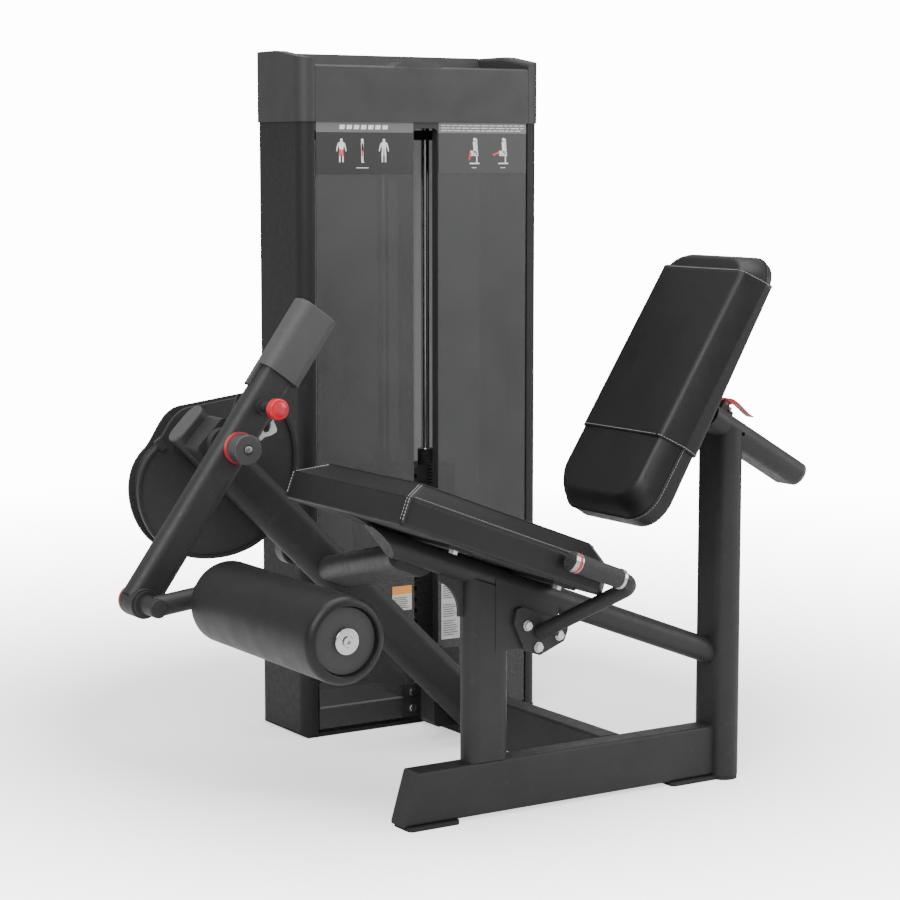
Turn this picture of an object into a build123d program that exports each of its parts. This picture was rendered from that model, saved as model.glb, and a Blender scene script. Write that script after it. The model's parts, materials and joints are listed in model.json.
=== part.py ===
from build123d import *
import math
import os

# Selectorized leg extension machine, built as separate named pieces.
# Origin: centre of the weight tower's footprint, on the floor.
# +X runs along the tower front towards the back support, +Y away from the user side, +Z up.

# ---------------------------------------------------------------- tower
tower_w = 600.0
tower_d = 205.0
tower_corner_r = 26.0
tower_bottom_z = 6.0
cap_bottom_z = 1312.0
cap_front_z = 1430.0
cap_end_z = 1461.0
cap_over = 3.5
cap_bump_x = -13.0
pillar_inner_x = 268.0
sheet = 2.5
front_y = -tower_d / 2
rear_y = tower_d / 2

channel_x = 5.0
channel_w = 62.0
channel_top_z = 1300.0
return_depth = 21.0
panel_bottom_z = 17.0
band_bottom_z = 1203.0
band_split_z = 1290.0

# ---------------------------------------------------------------- weight stack
stack_x = 5.0
stack_y = -8.0
plate_w = 215.0
plate_d = 92.0
plate_t = 24.4
plate_pitch = 25.0
plate_count = 16
stack_base_z = 129.0
lifted_count = 5
top_plate_t = 33.0
rod_gap = 112.0
rod_r = 9.0
rod_bottom_z = 96.0
rod_top_z = 1288.0
stem_r = 12.0
pin_hole_r = 5.5
stack_travel = 289.0

# ---------------------------------------------------------------- belts and pulleys
belt_w = 26.0
belt_t = 3.0
top_pulley_r = 42.0
top_pulley_z = 1230.0
low_pulley_r = 30.0
low_pulley_z = 74.0
belt_rear_y = stack_y + 2 * top_pulley_r + belt_t
guide_pulley_r = 35.0
guide_pulley_x = -400.0

# ---------------------------------------------------------------- machine frame
machine_y = -802.0
tube_wall = 3.0
rail_h = 101.0
rail_t = 50.0
rail_bottom_z = 8.0
rail_left_x = -492.0
rail_slant = 30.0
cross_x = 11.0
oval_w = 95.0
oval_t = 50.0
main_post_x = -302.0
back_post_x = 259.0
back_post_w = 101.0
back_post_t = 58.0

pitch = 20.8
seat_tube_r = 25.0
seat_tube_x = -302.0
seat_tube_z = 460.8
tube_front_x = -560.0
sweep_x = -665.0
sweep_z = 437.0
sweep_r = 177.0

# ---------------------------------------------------------------- swing beam and pivot
pivot_x = -641.0
pivot_z = 688.0
beam_y = -312.0
beam_w = 90.0
beam_slope = 44.3
beam_over = 47.0
housing_front_y = -396.0
shaft_r = 17.5
bush_r = 25.0
running_gap = 0.05

# ---------------------------------------------------------------- cam
cam_y = -237.0
cam_gap = 34.0
flange_t = 6.0
groove_r = 205.0
cam_turn_deg = 80.0

# ---------------------------------------------------------------- lever
arm_y = -440.0
arm_lean = 35.5
arm_w = 72.0
arm_t = 45.0
arm_corner_r = 20.0
arm_low = 345.0
arm_high = 306.0
pin_reach = 93.0
sleeve_w = 92.0
sleeve_t = 58.0
sleeve_len = 150.0
axle_r = 18.0
index_back_y = -399.0
index_t = 10.0
start_range_deg = 12
boss_r = 29.0
link_r = 20.0

# ---------------------------------------------------------------- ankle roller
roller_x = -729.0
roller_z = 420.0
roller_r = 77.0
roller_near_y = -1035.0
roller_far_y = -580.0
roller_rim_r = 16.0
core_r = 27.0
roller_shaft_r = 15.0

# ---------------------------------------------------------------- seat
seat_front_x = -611.0
seat_front_z = 606.0
seat_len = 495.0
seat_w = 424.0
seat_side_h = 53.0
seat_bevel_h = 31.0
seat_bevel_in = 46.0
seat_rear_cut = 50.0
seat_board_t = 6.0
strap_t = 6.0

# ---------------------------------------------------------------- backrest
back_x = 18.3
back_z = 717.8
recline = 32.4
back_w = 290.0
back_face_w = 240.0
back_low = -163.0
back_high = 411.0
back_bevel = 43.0
back_depth = 74.0
back_corner_r = 62.0
back_rear_angle = 29.9
band_high = 361.0
receiver_x = 234.0
receiver_z = 721.0
receiver_pitch = 30.2
receiver_front = -26.0
receiver_rear = 230.0
receiver_hole = 51.0
slider_w = 76.0
slider_t = 34.0
slide_gap = 1.0

# ---------------------------------------------------------------- handles
handle_y = 34.0
grip_y = 238.0
grip_pitch = 21.4
grip_r = 15.5
handle_r = 14.5


# ================================================================ helpers
def down_dir(angle):
    """Unit vector in the XZ plane that runs towards +X and down by angle."""
    return Vector(math.cos(math.radians(angle)), 0, -math.sin(math.radians(angle)))


def up_dir(angle):
    """Unit vector normal to down_dir, pointing up."""
    return Vector(math.sin(math.radians(angle)), 0, math.cos(math.radians(angle)))


def cyl_y(x, z, r, y0, y1):
    """Cylinder whose axis runs along Y from y0 to y1."""
    return Pos(x, (y0 + y1) / 2, z) * Rot(90, 0, 0) * Cylinder(r, abs(y1 - y0))


def cyl_x(y, z, r, x0, x1):
    """Cylinder whose axis runs along X from x0 to x1."""
    return Pos((x0 + x1) / 2, y, z) * Rot(0, 90, 0) * Cylinder(r, abs(x1 - x0))


def cyl_z(x, y, r, z0, z1):
    """Cylinder whose axis runs along Z from z0 to z1."""
    return Pos(x, y, (z0 + z1) / 2) * Cylinder(r, abs(z1 - z0))


def block(x0, x1, y0, y1, z0, z1):
    """Box given by its two corners."""
    return Pos((x0 + x1) / 2, (y0 + y1) / 2, (z0 + z1) / 2) * Box(abs(x1 - x0), abs(y1 - y0), abs(z1 - z0))


def run(profile, start, end, x_dir):
    """Extrude a flat profile from start to end; x_dir is the profile's own X axis."""
    span = Vector(*end) - Vector(*start)
    plane = Plane(origin=start, x_dir=x_dir, z_dir=span)
    return extrude(plane * profile, amount=span.length)


def rod_between(start, end, r):
    """Round bar from start to end."""
    span = Vector(*end) - Vector(*start)
    side = Vector(0, 1, 0).cross(span)
    if side.length < 1e-6:
        side = Vector(1, 0, 0)
    return run(Circle(r), start, end, side)


def ring_y(x, z, r_out, r_in, y0, y1):
    """Tube whose axis runs along Y."""
    return cyl_y(x, z, r_out, y0, y1) - cyl_y(x, z, r_in, y0, y1)


def oval(w, t, wall=0.0):
    """Flat-oval section, solid or hollow."""
    outer = SlotOverall(w, t)
    if wall == 0:
        return outer
    return outer - SlotOverall(w - 2 * wall, t - 2 * wall)


def hex_bolt_y(x, z, y_face, r, head_t, shank_r, shank_len):
    """Bolt along Y whose head sits on the -Y side of y_face."""
    head = Pos(x, y_face - head_t / 2, z) * Rot(90, 0, 0) * extrude(RegularPolygon(r, 6), head_t / 2, both=True)
    return head + cyl_y(x, z, shank_r, y_face, y_face + shank_len)


def mirror_machine(shape):
    """Copy of a shape mirrored in the machine's centre plane."""
    return mirror(shape, about=Plane.XZ.offset(-machine_y))


def solids(*shapes):
    """Group of separate solids kept in one node."""
    parts = []
    for shape in shapes:
        parts.extend(shape.solids())
    return Compound(children=parts)


# ================================================================ shared outlines
def seat_tube_solid(r):
    """Full-length seat tube as a solid cylinder of radius r, before its ends are cut."""
    back = down_dir(pitch)
    start = Vector(seat_tube_x, machine_y, seat_tube_z) + back * ((tube_front_x - seat_tube_x) / back.X)
    end = Vector(seat_tube_x, machine_y, seat_tube_z) + back * ((back_post_x - seat_tube_x) / back.X)
    return rod_between(tuple(start), tuple(end), r)


def back_post_solid(w, t):
    """Upright back post as a solid, up to the receiver's centreline."""
    top = receiver_z - (back_post_x - receiver_x) * math.tan(math.radians(receiver_pitch))
    profile = oval(w, t)
    return run(profile, (back_post_x, machine_y, rail_bottom_z), (back_post_x, machine_y, top), (0, 1, 0))


def receiver_solid(w, t):
    """Receiver tube as a solid flat oval."""
    back = down_dir(receiver_pitch)
    mid = Vector(receiver_x, machine_y, receiver_z)
    start = mid + back * receiver_front
    end = mid + back * receiver_rear
    return run(oval(w, t), tuple(start), tuple(end), (0, 1, 0))


def sweep_cut():
    """Space the ankle roller swings through under the seat."""
    return cyl_y(sweep_x, sweep_z, sweep_r, machine_y - 60, machine_y + 60)


def beam_solid(w, t):
    """Swing beam as a solid flat oval from its upper end down to the cross tube."""
    back = down_dir(beam_slope)
    mid = Vector(pivot_x, beam_y, pivot_z)
    start = mid - back * beam_over
    end = mid + back * 980
    return run(oval(w, t), tuple(start), tuple(end), tuple(up_dir(beam_slope)))


def cross_tube_solid():
    """Cross tube that ties the machine rail to the tower, as a solid."""
    return block(cross_x - rail_t / 2, cross_x + rail_t / 2,
                 machine_y + rail_t / 2, front_y, rail_bottom_z, rail_bottom_z + rail_h)


# ================================================================ machine frame
def base_rail():
    z0 = rail_bottom_z
    z1 = z0 + rail_h
    right = back_post_x
    with BuildSketch(Plane.XZ.offset(-machine_y)) as outline:
        Polygon((rail_left_x, z0), (right, z0), (right, z1), (rail_left_x + rail_slant, z1), align=None)
    body = extrude(outline.sketch, rail_t / 2, both=True)
    body = fillet(body.edges().filter_by(Axis.X), 6)
    hollow = block(rail_left_x + rail_slant + 6, right, machine_y - rail_t / 2 + tube_wall,
                   machine_y + rail_t / 2 - tube_wall, z0 + tube_wall, z1 - tube_wall)
    return body - hollow - back_post_solid(back_post_w, back_post_t)


def foot_pads():
    pads = []
    for x, length in ((rail_left_x + 64, 112.0), (184.0, 118.0)):
        pad = Pos(x, machine_y, rail_bottom_z / 2) * Box(length, rail_t + 14, rail_bottom_z)
        pads.append(fillet(pad.edges().filter_by(Axis.Z), 10))
    post = extrude(Pos(back_post_x, machine_y, 0) * Rot(0, 0, 90) * oval(back_post_w - 2, back_post_t - 2),
                   rail_bottom_z)
    pads.append(post - block(125, 243, machine_y - 32, machine_y + 32, -1, rail_bottom_z + 1))
    return solids(*pads)


def cross_tube():
    body = cross_tube_solid()
    body = fillet(body.edges().filter_by(Axis.Y), 6)
    inner = block(cross_x - rail_t / 2 + tube_wall, cross_x + rail_t / 2 - tube_wall, machine_y, front_y + 1,
                  rail_bottom_z + tube_wall, rail_bottom_z + rail_h - tube_wall)
    slot_z = belt_box_z() - 12
    slot = block(cross_x - rail_t, cross_x - 5, cam_y - belt_w / 2 - 4, cam_y + belt_w / 2 + 4, slot_z - 12, slot_z + 12)
    return body - inner - slot


def main_post():
    top = seat_tube_z + 10
    start = (main_post_x, machine_y, rail_bottom_z + rail_h)
    body = run(oval(oval_w, oval_t, tube_wall), start, (main_post_x, machine_y, top), (1, 0, 0))
    return body - seat_tube_solid(seat_tube_r) - upper_half()


def upper_half():
    """Everything above the seat tube's centreline, used to trim the post."""
    plane_x = seat_tube_x
    return Pos(plane_x, machine_y, seat_tube_z + 200) * Rot(0, pitch, 0) * Box(400, 200, 400)


def back_post():
    body = run(oval(back_post_w, back_post_t, tube_wall), (back_post_x, machine_y, rail_bottom_z),
               (back_post_x, machine_y, receiver_z), (0, 1, 0))
    above = Pos(receiver_x, machine_y, receiver_z) * Rot(0, receiver_pitch, 0) * Pos(0, 0, 150) * Box(500, 200, 300)
    return body - receiver_solid(oval_w, oval_t) - above


def seat_tube():
    """Seat tube, hollow behind its solid front end."""
    back = down_dir(pitch)
    origin = Vector(seat_tube_x, machine_y, seat_tube_z)
    bore_start = origin - back * 190
    bore_end = origin + back * 700
    bore = rod_between(tuple(bore_start), tuple(bore_end), seat_tube_r - tube_wall)
    return seat_tube_solid(seat_tube_r) - bore - sweep_cut() - back_post_solid(back_post_w, back_post_t)


def tube_gussets():
    half = 4.0
    front = block(-596, -470, machine_y - half, machine_y + half, 470, 610)
    front = front - sweep_cut() - seat_tube_solid(seat_tube_r)
    above = Pos(seat_tube_x, machine_y, seat_tube_z) * Rot(0, pitch, 0) * Pos(0, 0, 200 + seat_tube_r + 1)
    below = Pos(seat_tube_x, machine_y, seat_tube_z) * Rot(0, pitch, 0) * Pos(0, 0, -200)
    front = front - above * Box(900, 200, 400) - below * Box(900, 200, 400)
    front = front - block(-470, -400, machine_y - 10, machine_y + 10, 400, 620)
    left = main_post_x - oval_w / 2
    rear = block(left - 52, left, machine_y - half, machine_y + half, 380, 480)
    rear = rear - seat_tube_solid(seat_tube_r) - cyl_y(left - 78, 395, 68, machine_y - 10, machine_y + 10)
    rear = rear - above * Pos(0, 0, -seat_tube_r - 1) * Box(900, 200, 400)
    lowest = block(left - 60, left + 1, machine_y - 10, machine_y + 10, 300, 388)
    return solids(front.solids().sort_by(SortBy.VOLUME)[-1], (rear - lowest).solids().sort_by(SortBy.VOLUME)[-1])


def crossbar():
    """Skewed tube from the seat tube to the swing beam, hollow except near the seat tube."""
    back = down_dir(pitch)
    face_y = beam_y - oval_t / 2
    start = Vector(-348.0, face_y + 12, 402.0)
    end = Vector(-458.0, machine_y, 505.0)
    body = run(oval(oval_w, oval_t), tuple(start), tuple(end), tuple(back))
    plug = start + (end - start) * 0.86
    body = body - run(oval(oval_w - 2 * tube_wall, oval_t - 2 * tube_wall), tuple(start), tuple(plug), tuple(back))
    beam_side = block(-600, -200, face_y, face_y + 60, 200, 700)
    near_side = block(-700, -200, machine_y - 80, machine_y, 300, 700)
    above = Pos(seat_tube_x, machine_y, seat_tube_z) * Rot(0, pitch, 0) * Pos(0, 0, seat_tube_r - strap_t + 100)
    body = body - beam_side - near_side - seat_tube_solid(seat_tube_r) - above * Box(900, 900, 200)
    gusset_slot = block(-700, -400, machine_y - 6, machine_y + 6, 380, 640)
    return (body - gusset_slot).solids().sort_by(SortBy.VOLUME)[-1]


def swing_beam():
    body = beam_solid(beam_w, oval_t) - beam_solid(beam_w - 2 * tube_wall, oval_t - 2 * tube_wall)
    left = cross_x - rail_t / 2
    trim = block(left, left + 800, beam_y - 80, beam_y + 80, -400, 600)
    floor = block(pivot_x, 200, beam_y - 80, beam_y + 80, -400, rail_bottom_z)
    return body - trim - floor - cyl_y(pivot_x, pivot_z, bush_r + 5, beam_y - 80, beam_y + 80)


def beam_end_cap():
    back = down_dir(beam_slope)
    mid = Vector(pivot_x, beam_y, pivot_z) - back * beam_over
    cap = run(oval(beam_w, oval_t), tuple(mid - back * 5), tuple(mid), tuple(up_dir(beam_slope)))
    cap = fillet(cap.edges().group_by(Axis.X)[0], 2)
    return cap


def bearing_housing():
    back = beam_y + oval_t / 2
    sleeve = ring_y(pivot_x, pivot_z, bush_r + 5, bush_r, housing_front_y, back + 4)
    tilt = Pos(pivot_x, (beam_y - oval_t / 2 + housing_front_y) / 2, pivot_z) * Rot(0, beam_slope, 0) * Pos(14, 0, 0)
    depth = abs(housing_front_y - (beam_y - oval_t / 2))
    shell = Box(96, depth, 84)
    shell = fillet(shell.edges().filter_by(Axis.Y), 10)
    shell = tilt * shell - cyl_y(pivot_x, pivot_z, bush_r + 5, housing_front_y - 1, back)
    return solids(sleeve, shell)


def bearing_bushes():
    back = beam_y + oval_t / 2 + 4
    bore = shaft_r + running_gap
    front = ring_y(pivot_x, pivot_z, bush_r, bore, housing_front_y, housing_front_y + 26)
    rear = ring_y(pivot_x, pivot_z, bush_r, bore, back - 26, back)
    return solids(front, rear)


def guide_bracket():
    """Fork behind the swing beam that carries the belt's guide pulley."""
    z = guide_pulley_z()
    back = beam_y + oval_t / 2
    mid = Vector(guide_pulley_x, 0, z) - Vector(pivot_x, 0, pivot_z)
    offset = mid.dot(up_dir(beam_slope))
    plate = block(-34, 34, back, cam_y - belt_w / 2 - 3, min(offset, 0) - 16, 22)
    plate = Pos(guide_pulley_x, 0, z) * Rot(0, beam_slope, 0) * Pos(0, 0, -offset) * plate
    spindle = cyl_y(guide_pulley_x, z, 6, back, cam_y + belt_w / 2 + 9)
    washer = cyl_y(guide_pulley_x, z, 11, cam_y + belt_w / 2 + 2.5, cam_y + belt_w / 2 + 9)
    return plate + spindle + washer


# ================================================================ belt path
def belt_line_z():
    """Height of the belt where it leaves the cam level."""
    return pivot_z - groove_r - belt_t / 2 - 0.2


def guide_pulley_z():
    return belt_line_z() - belt_t / 2 - 0.2 - guide_pulley_r


def belt_box_z():
    """Height of the belt's entry into the box beside the cross tube."""
    normal = up_dir(beam_slope)
    leave = Vector(guide_pulley_x, 0, guide_pulley_z()) + normal * (guide_pulley_r + belt_t / 2 + 0.2)
    box_left = cross_x - rail_t / 2 - 62
    return leave.Z - (box_left - leave.X) * math.tan(math.radians(beam_slope))


def belt_box():
    """Cover over the turn pulley where the belt enters the cross tube."""
    right = cross_x - rail_t / 2
    left = right - 62
    top = belt_box_z() + 20
    y0 = cam_y - belt_w / 2 - 14
    y1 = cam_y + belt_w / 2 + 14
    shell = block(left, right, y0, y1, 30, top)
    shell = fillet(shell.edges().filter_by(Axis.Y).group_by(Axis.X)[0], 14)
    inner = block(left + 3, right + 1, y0 + 3, y1 - 3, 33, top - 3)
    slot = block(left - 5, left + 30, cam_y - belt_w / 2 - 2, cam_y + belt_w / 2 + 2, top - 48, top + 5)
    return shell - inner - slot


def drive_belt():
    """Belt from the cam over the guide pulley and down to the cross tube."""
    z = belt_line_z()
    r = guide_pulley_r + belt_t / 2 + 0.2
    pz = guide_pulley_z()
    back = down_dir(beam_slope)
    normal = up_dir(beam_slope)
    leave = Vector(guide_pulley_x, 0, pz) + normal * r
    length = (cross_x - rail_t / 2 - 34 - leave.X) / back.X
    end = leave + back * length
    middle = Vector(guide_pulley_x, 0, pz) + up_dir(beam_slope / 2) * r
    with BuildSketch(Plane.XZ.offset(-cam_y)) as band:
        with BuildLine() as path:
            first = Line((pivot_x + 40, z), (guide_pulley_x, z))
            bend = ThreePointArc(first @ 1, (middle.X, middle.Z), (leave.X, leave.Z))
            Line(bend @ 1, (end.X, end.Z))
        trace(line_width=belt_t)
    return extrude(band.sketch, belt_w / 2, both=True)


def guide_pulley():
    x = guide_pulley_x
    z = guide_pulley_z()
    half = belt_w / 2
    drum = ring_y(x, z, guide_pulley_r, 6 + running_gap, cam_y - half - 1.5, cam_y + half + 1.5)
    drum = fillet(drum.edges().filter_by(GeomType.CIRCLE).sort_by(SortBy.RADIUS)[-2:], 2)
    pockets = ring_y(x, z, guide_pulley_r - 7, 14, cam_y - half - 2, cam_y - half + 3)
    return drum - pockets


def top_pulley():
    return tower_pulley(stack_y + top_pulley_r + belt_t / 2, top_pulley_z, top_pulley_r)


def low_pulley():
    return tower_pulley(belt_rear_y - low_pulley_r - belt_t / 2, low_pulley_z, low_pulley_r)


def tower_pulley(y, z, r):
    half = belt_w / 2
    drum = cyl_x(y, z, r - 0.2, stack_x - half - 1.5, stack_x + half + 1.5)
    drum = drum - cyl_x(y, z, 6 + running_gap, stack_x - 40, stack_x + 40)
    for side in (-1, 1):
        x = stack_x + side * (half + 1.5)
        pocket = cyl_x(y, z, r - 7, x - 3, x + 3) - cyl_x(y, z, 14, x - 4, x + 4)
        drum = drum - pocket
    return drum


def pulley_mounts():
    """Top beam inside the tower with its pulley fork, and the fork of the low pulley."""
    y_top = stack_y + top_pulley_r + belt_t / 2
    y_low = belt_rear_y - low_pulley_r - belt_t / 2
    parts = []
    half = belt_w / 2 + 3
    beam = block(-tower_w / 2 + 14, tower_w / 2 - 14, y_top - 30, y_top + 30, rod_top_z - 12, rod_top_z + 8)
    cheeks = []
    for side in (-1, 1):
        x = stack_x + side * half
        cheeks.append(block(x, x + side * 5, y_top - 24, y_top + 24, top_pulley_z - 20, rod_top_z - 12))
    arm = block(stack_x - 80, stack_x + 80, stack_y - 20, y_top - 30, rod_top_z - 12, rod_top_z + 8)
    rods = [cyl_z(stack_x + side * rod_gap / 2, stack_y, rod_r, rod_bottom_z, rod_top_z + 20) for side in (-1, 1)]
    spindle = cyl_x(y_top, top_pulley_z, 6, stack_x - half - 7, stack_x + half + 7)
    frame = beam + arm + cheeks[0] + cheeks[1] + spindle
    frame = frame - rods[0] - rods[1]
    parts.append(frame)
    low = None
    for side in (-1, 1):
        x = stack_x + side * half
        cheek = block(x, x + side * 5, y_low - 22, y_low + 22, low_pulley_z - 22, rod_bottom_z)
        low = cheek if low is None else low + cheek
    low = low + cyl_x(y_low, low_pulley_z, 6, stack_x - half - 7, stack_x + half + 7)
    for side in (-1, 1):
        x = stack_x + side * (half + 5)
        low = low + block(x, x + side * 30, y_low - 22, y_low + 22, rod_bottom_z - 6, rod_bottom_z)
    parts.append(low)
    return solids(*parts)


def tower_belt():
    """Belt run from the cross tube, round the low pulley and up behind the stack to the top pulley."""
    y_low = belt_rear_y - low_pulley_r - belt_t / 2
    y_top = stack_y + top_pulley_r + belt_t / 2
    r_low = low_pulley_r + belt_t / 2
    r_top = top_pulley_r + belt_t / 2
    z_floor = low_pulley_z - r_low
    with BuildSketch(Plane.YZ.offset(stack_x)) as band:
        with BuildLine():
            first = Line((front_y + 8, z_floor), (y_low, z_floor))
            turn = r_low * math.sin(math.radians(45))
            bend = ThreePointArc(first @ 1, (y_low + turn, low_pulley_z - turn), (y_low + r_low, low_pulley_z))
            rise = Line(bend @ 1, (y_top + r_top, top_pulley_z))
            ThreePointArc(rise @ 1, (y_top, top_pulley_z + r_top), (y_top - r_top, top_pulley_z))
        trace(line_width=belt_t - 0.1)
    return extrude(band.sketch, belt_w / 2, both=True)


def lift_belt():
    """Vertical run from the top pulley down to the selector stem."""
    return block(stack_x - belt_w / 2, stack_x + belt_w / 2, stack_y - belt_t / 2, stack_y + belt_t / 2,
                 stem_top_z() + 34, top_pulley_z - 0.2)


# ================================================================ weight stack
def stack_top_z():
    """Top face of the lifted top plate."""
    return stack_base_z + plate_count * plate_pitch + top_plate_t


def stem_top_z():
    return stack_top_z() + 18


def plate_blank(z0, t):
    """One weight plate with its rod holes, stem hole and pin hole."""
    body = block(stack_x - plate_w / 2, stack_x + plate_w / 2, stack_y - plate_d / 2, stack_y + plate_d / 2, z0, z0 + t)
    body = fillet(body.edges().filter_by(Axis.Z), 5)
    for side in (-1, 1):
        body = body - cyl_z(stack_x + side * rod_gap / 2, stack_y, rod_r + 1, z0 - 1, z0 + t + 1)
    body = body - cyl_z(stack_x, stack_y, stem_r + 1, z0 - 1, z0 + t + 1)
    return body - cyl_y(stack_x, z0 + t / 2, pin_hole_r, stack_y - plate_d, stack_y)


def weight_plates():
    count = plate_count - lifted_count
    return solids(*[plate_blank(stack_base_z + i * plate_pitch, plate_t) for i in range(count)])


def lifted_plates():
    first = plate_count - lifted_count
    return solids(*[plate_blank(stack_base_z + i * plate_pitch, plate_t) for i in range(first, plate_count)])


def top_plate():
    z0 = stack_base_z + plate_count * plate_pitch
    body = block(stack_x - plate_w / 2, stack_x + plate_w / 2, stack_y - plate_d / 2, stack_y + plate_d / 2,
                 z0, z0 + top_plate_t)
    body = fillet(body.edges().filter_by(Axis.Z), 5)
    body = body - cyl_z(stack_x, stack_y, stem_r, z0 - 1, z0 + top_plate_t + 1)
    body = body - cyl_y(stack_x, z0 + plate_t / 2, pin_hole_r, stack_y - plate_d, stack_y)
    for side in (-1, 1):
        x = stack_x + side * rod_gap / 2
        body = body - cyl_z(x, stack_y, 13, z0 - 1, z0 + top_plate_t + 1)
    return body


def rod_bushes():
    """Guide bushes in the top plate with the rubber bumpers that stand on it."""
    z0 = stack_base_z + plate_count * plate_pitch
    parts = []
    for side in (-1, 1):
        x = stack_x + side * rod_gap / 2
        bush = cyl_z(x, stack_y, 13, z0, z0 + top_plate_t) + cyl_z(x, stack_y, 17.5, z0 + top_plate_t, z0 + top_plate_t + 32)
        parts.append(bush - cyl_z(x, stack_y, rod_r + 0.06, z0 - 1, z0 + top_plate_t + 40))
    return solids(*parts)


def selector_stem():
    """Drilled stem that hangs through the stack, with the belt clamp on top."""
    bottom = stack_base_z + 4
    top = stack_top_z()
    body = cyl_z(stack_x, stack_y, stem_r, bottom, top)
    for i in range(plate_count + 1):
        z = stack_base_z + i * plate_pitch + plate_t / 2
        body = body - cyl_y(stack_x, z, pin_hole_r, stack_y - 20, stack_y + 20)
    head = block(stack_x - 11, stack_x + 11, stack_y - 12, stack_y + 12, top, stem_top_z())
    clamp = block(stack_x - 15, stack_x + 15, stack_y - 7, stack_y + 7, stem_top_z(), stem_top_z() + 34)
    bolts = cyl_y(stack_x, stem_top_z() + 11, 5, stack_y - 11, stack_y + 11)
    bolts = bolts + cyl_y(stack_x, stem_top_z() + 25, 5, stack_y - 11, stack_y + 11)
    return body + head + clamp + bolts


def selector_pin_z():
    return stack_base_z + (plate_count - lifted_count) * plate_pitch + plate_t / 2


def selector_pin():
    z = selector_pin_z()
    front = stack_y - plate_d / 2
    shank = cyl_y(stack_x, z, 4.8, front - 16, stack_y + 11.5)
    return shank


def selector_knob():
    z = selector_pin_z()
    front = stack_y - plate_d / 2
    knob = cyl_y(stack_x, z, 13, front - 30, front - 1)
    knob = fillet(knob.edges().filter_by(GeomType.CIRCLE), 3)
    return knob - cyl_y(stack_x, z, 4.8, front - 16, front)


def lanyard():
    """Coiled cord from the right-hand bumper down to the selector pin."""
    x = 41.0
    y = stack_y - plate_d / 2 - 12
    z1 = stack_top_z() + 22
    z0 = selector_pin_z() + 34
    helix = Helix(pitch=7.5, height=z1 - z0 - 18, radius=5.5, center=(x, y, z0 + 8))
    section = Plane(origin=helix @ 0, z_dir=helix % 0) * Circle(1.7)
    coil = sweep(section, path=helix)
    return coil


def guide_rods():
    parts = []
    for side in (-1, 1):
        parts.append(cyl_z(stack_x + side * rod_gap / 2, stack_y, rod_r, rod_bottom_z, rod_top_z + 20))
    return solids(*parts)


def stack_buffers():
    parts = []
    for side in (-1, 1):
        x = stack_x + side * rod_gap / 2
        parts.append(cyl_z(x, stack_y, 17, rod_bottom_z + 8, stack_base_z) - cyl_z(x, stack_y, rod_r + 0.5, 90, 140))
    return solids(*parts)


# ================================================================ tower
def tower_base():
    """Welded base frame of the tower with the shelf the stack stands on."""
    half = tower_w / 2 - 8
    y0 = front_y + 4
    y1 = rear_y - 4
    parts = block(-half, half, y0, y1, 0, 8)
    shelf = block(-half + 4, half - 4, y0 + 24, y1 - 8, rod_bottom_z, rod_bottom_z + 8)
    parts = parts + shelf
    for side in (-1, 1):
        parts = parts + block(side * (half - 4), side * (half - 44), y0 + 24, y1 - 8, 8, rod_bottom_z)
    y_low = belt_rear_y - low_pulley_r - belt_t / 2
    pulley_gap = block(stack_x - belt_w, stack_x + belt_w, y_low - low_pulley_r - 5, rear_y,
                       rod_bottom_z - 2, rod_bottom_z + 10)
    parts = parts - pulley_gap
    for side in (-1, 1):
        parts = parts - cyl_z(stack_x + side * rod_gap / 2, stack_y, rod_r, rod_bottom_z, rod_bottom_z + 10)
    return parts


def tower_uprights():
    """Box uprights inside the tower that carry the top beam."""
    parts = []
    y_mid = stack_y + top_pulley_r + belt_t / 2
    for side in (-1, 1):
        x = side * (tower_w / 2 - 34)
        outer = block(x - 20, x + 20, y_mid - 30, y_mid + 20, rod_bottom_z + 8, rod_top_z - 12)
        inner = block(x - 17, x + 17, y_mid - 27, y_mid + 17, rod_bottom_z, rod_top_z)
        parts.append(outer - inner)
    return solids(*parts)


def cover_outline(inset):
    """Plan outline of the tower, rounded at the corners."""
    return RectangleRounded(tower_w - 2 * inset, tower_d - 2 * inset, tower_corner_r - inset)


def side_covers():
    """Left and right wrap-round covers, from the front pillar to the back."""
    ring = cover_outline(0) - cover_outline(sheet)
    shell = Pos(0, 0, tower_bottom_z + 2) * extrude(ring, cap_bottom_z - tower_bottom_z - 2)
    middle = block(-pillar_inner_x, pillar_inner_x, -tower_d, tower_d, 0, 1400)
    shell = shell - middle
    parts = []
    for side in (-1, 1):
        lip = block(side * pillar_inner_x, side * (pillar_inner_x + sheet), front_y + sheet, front_y + 16,
                    tower_bottom_z + 2, cap_bottom_z)
        parts.append(lip)
    joined = shell + parts[0] + parts[1]
    return solids(joined)


def rear_cover():
    body = block(-pillar_inner_x + 0.5, pillar_inner_x - 0.5, rear_y - sheet, rear_y, 12, cap_bottom_z)
    return body


def front_panels():
    """Two smoked panels either side of the open channel."""
    left_edge = channel_x - channel_w / 2
    right_edge = channel_x + channel_w / 2
    y0 = front_y + 1.0
    y1 = y0 + 3.0
    inner = pillar_inner_x - 3.5
    left = block(-inner, left_edge, y0, y1, panel_bottom_z, cap_bottom_z)
    right = block(right_edge, inner, y0, y1, panel_bottom_z, cap_bottom_z)
    return solids(left, right)


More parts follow.
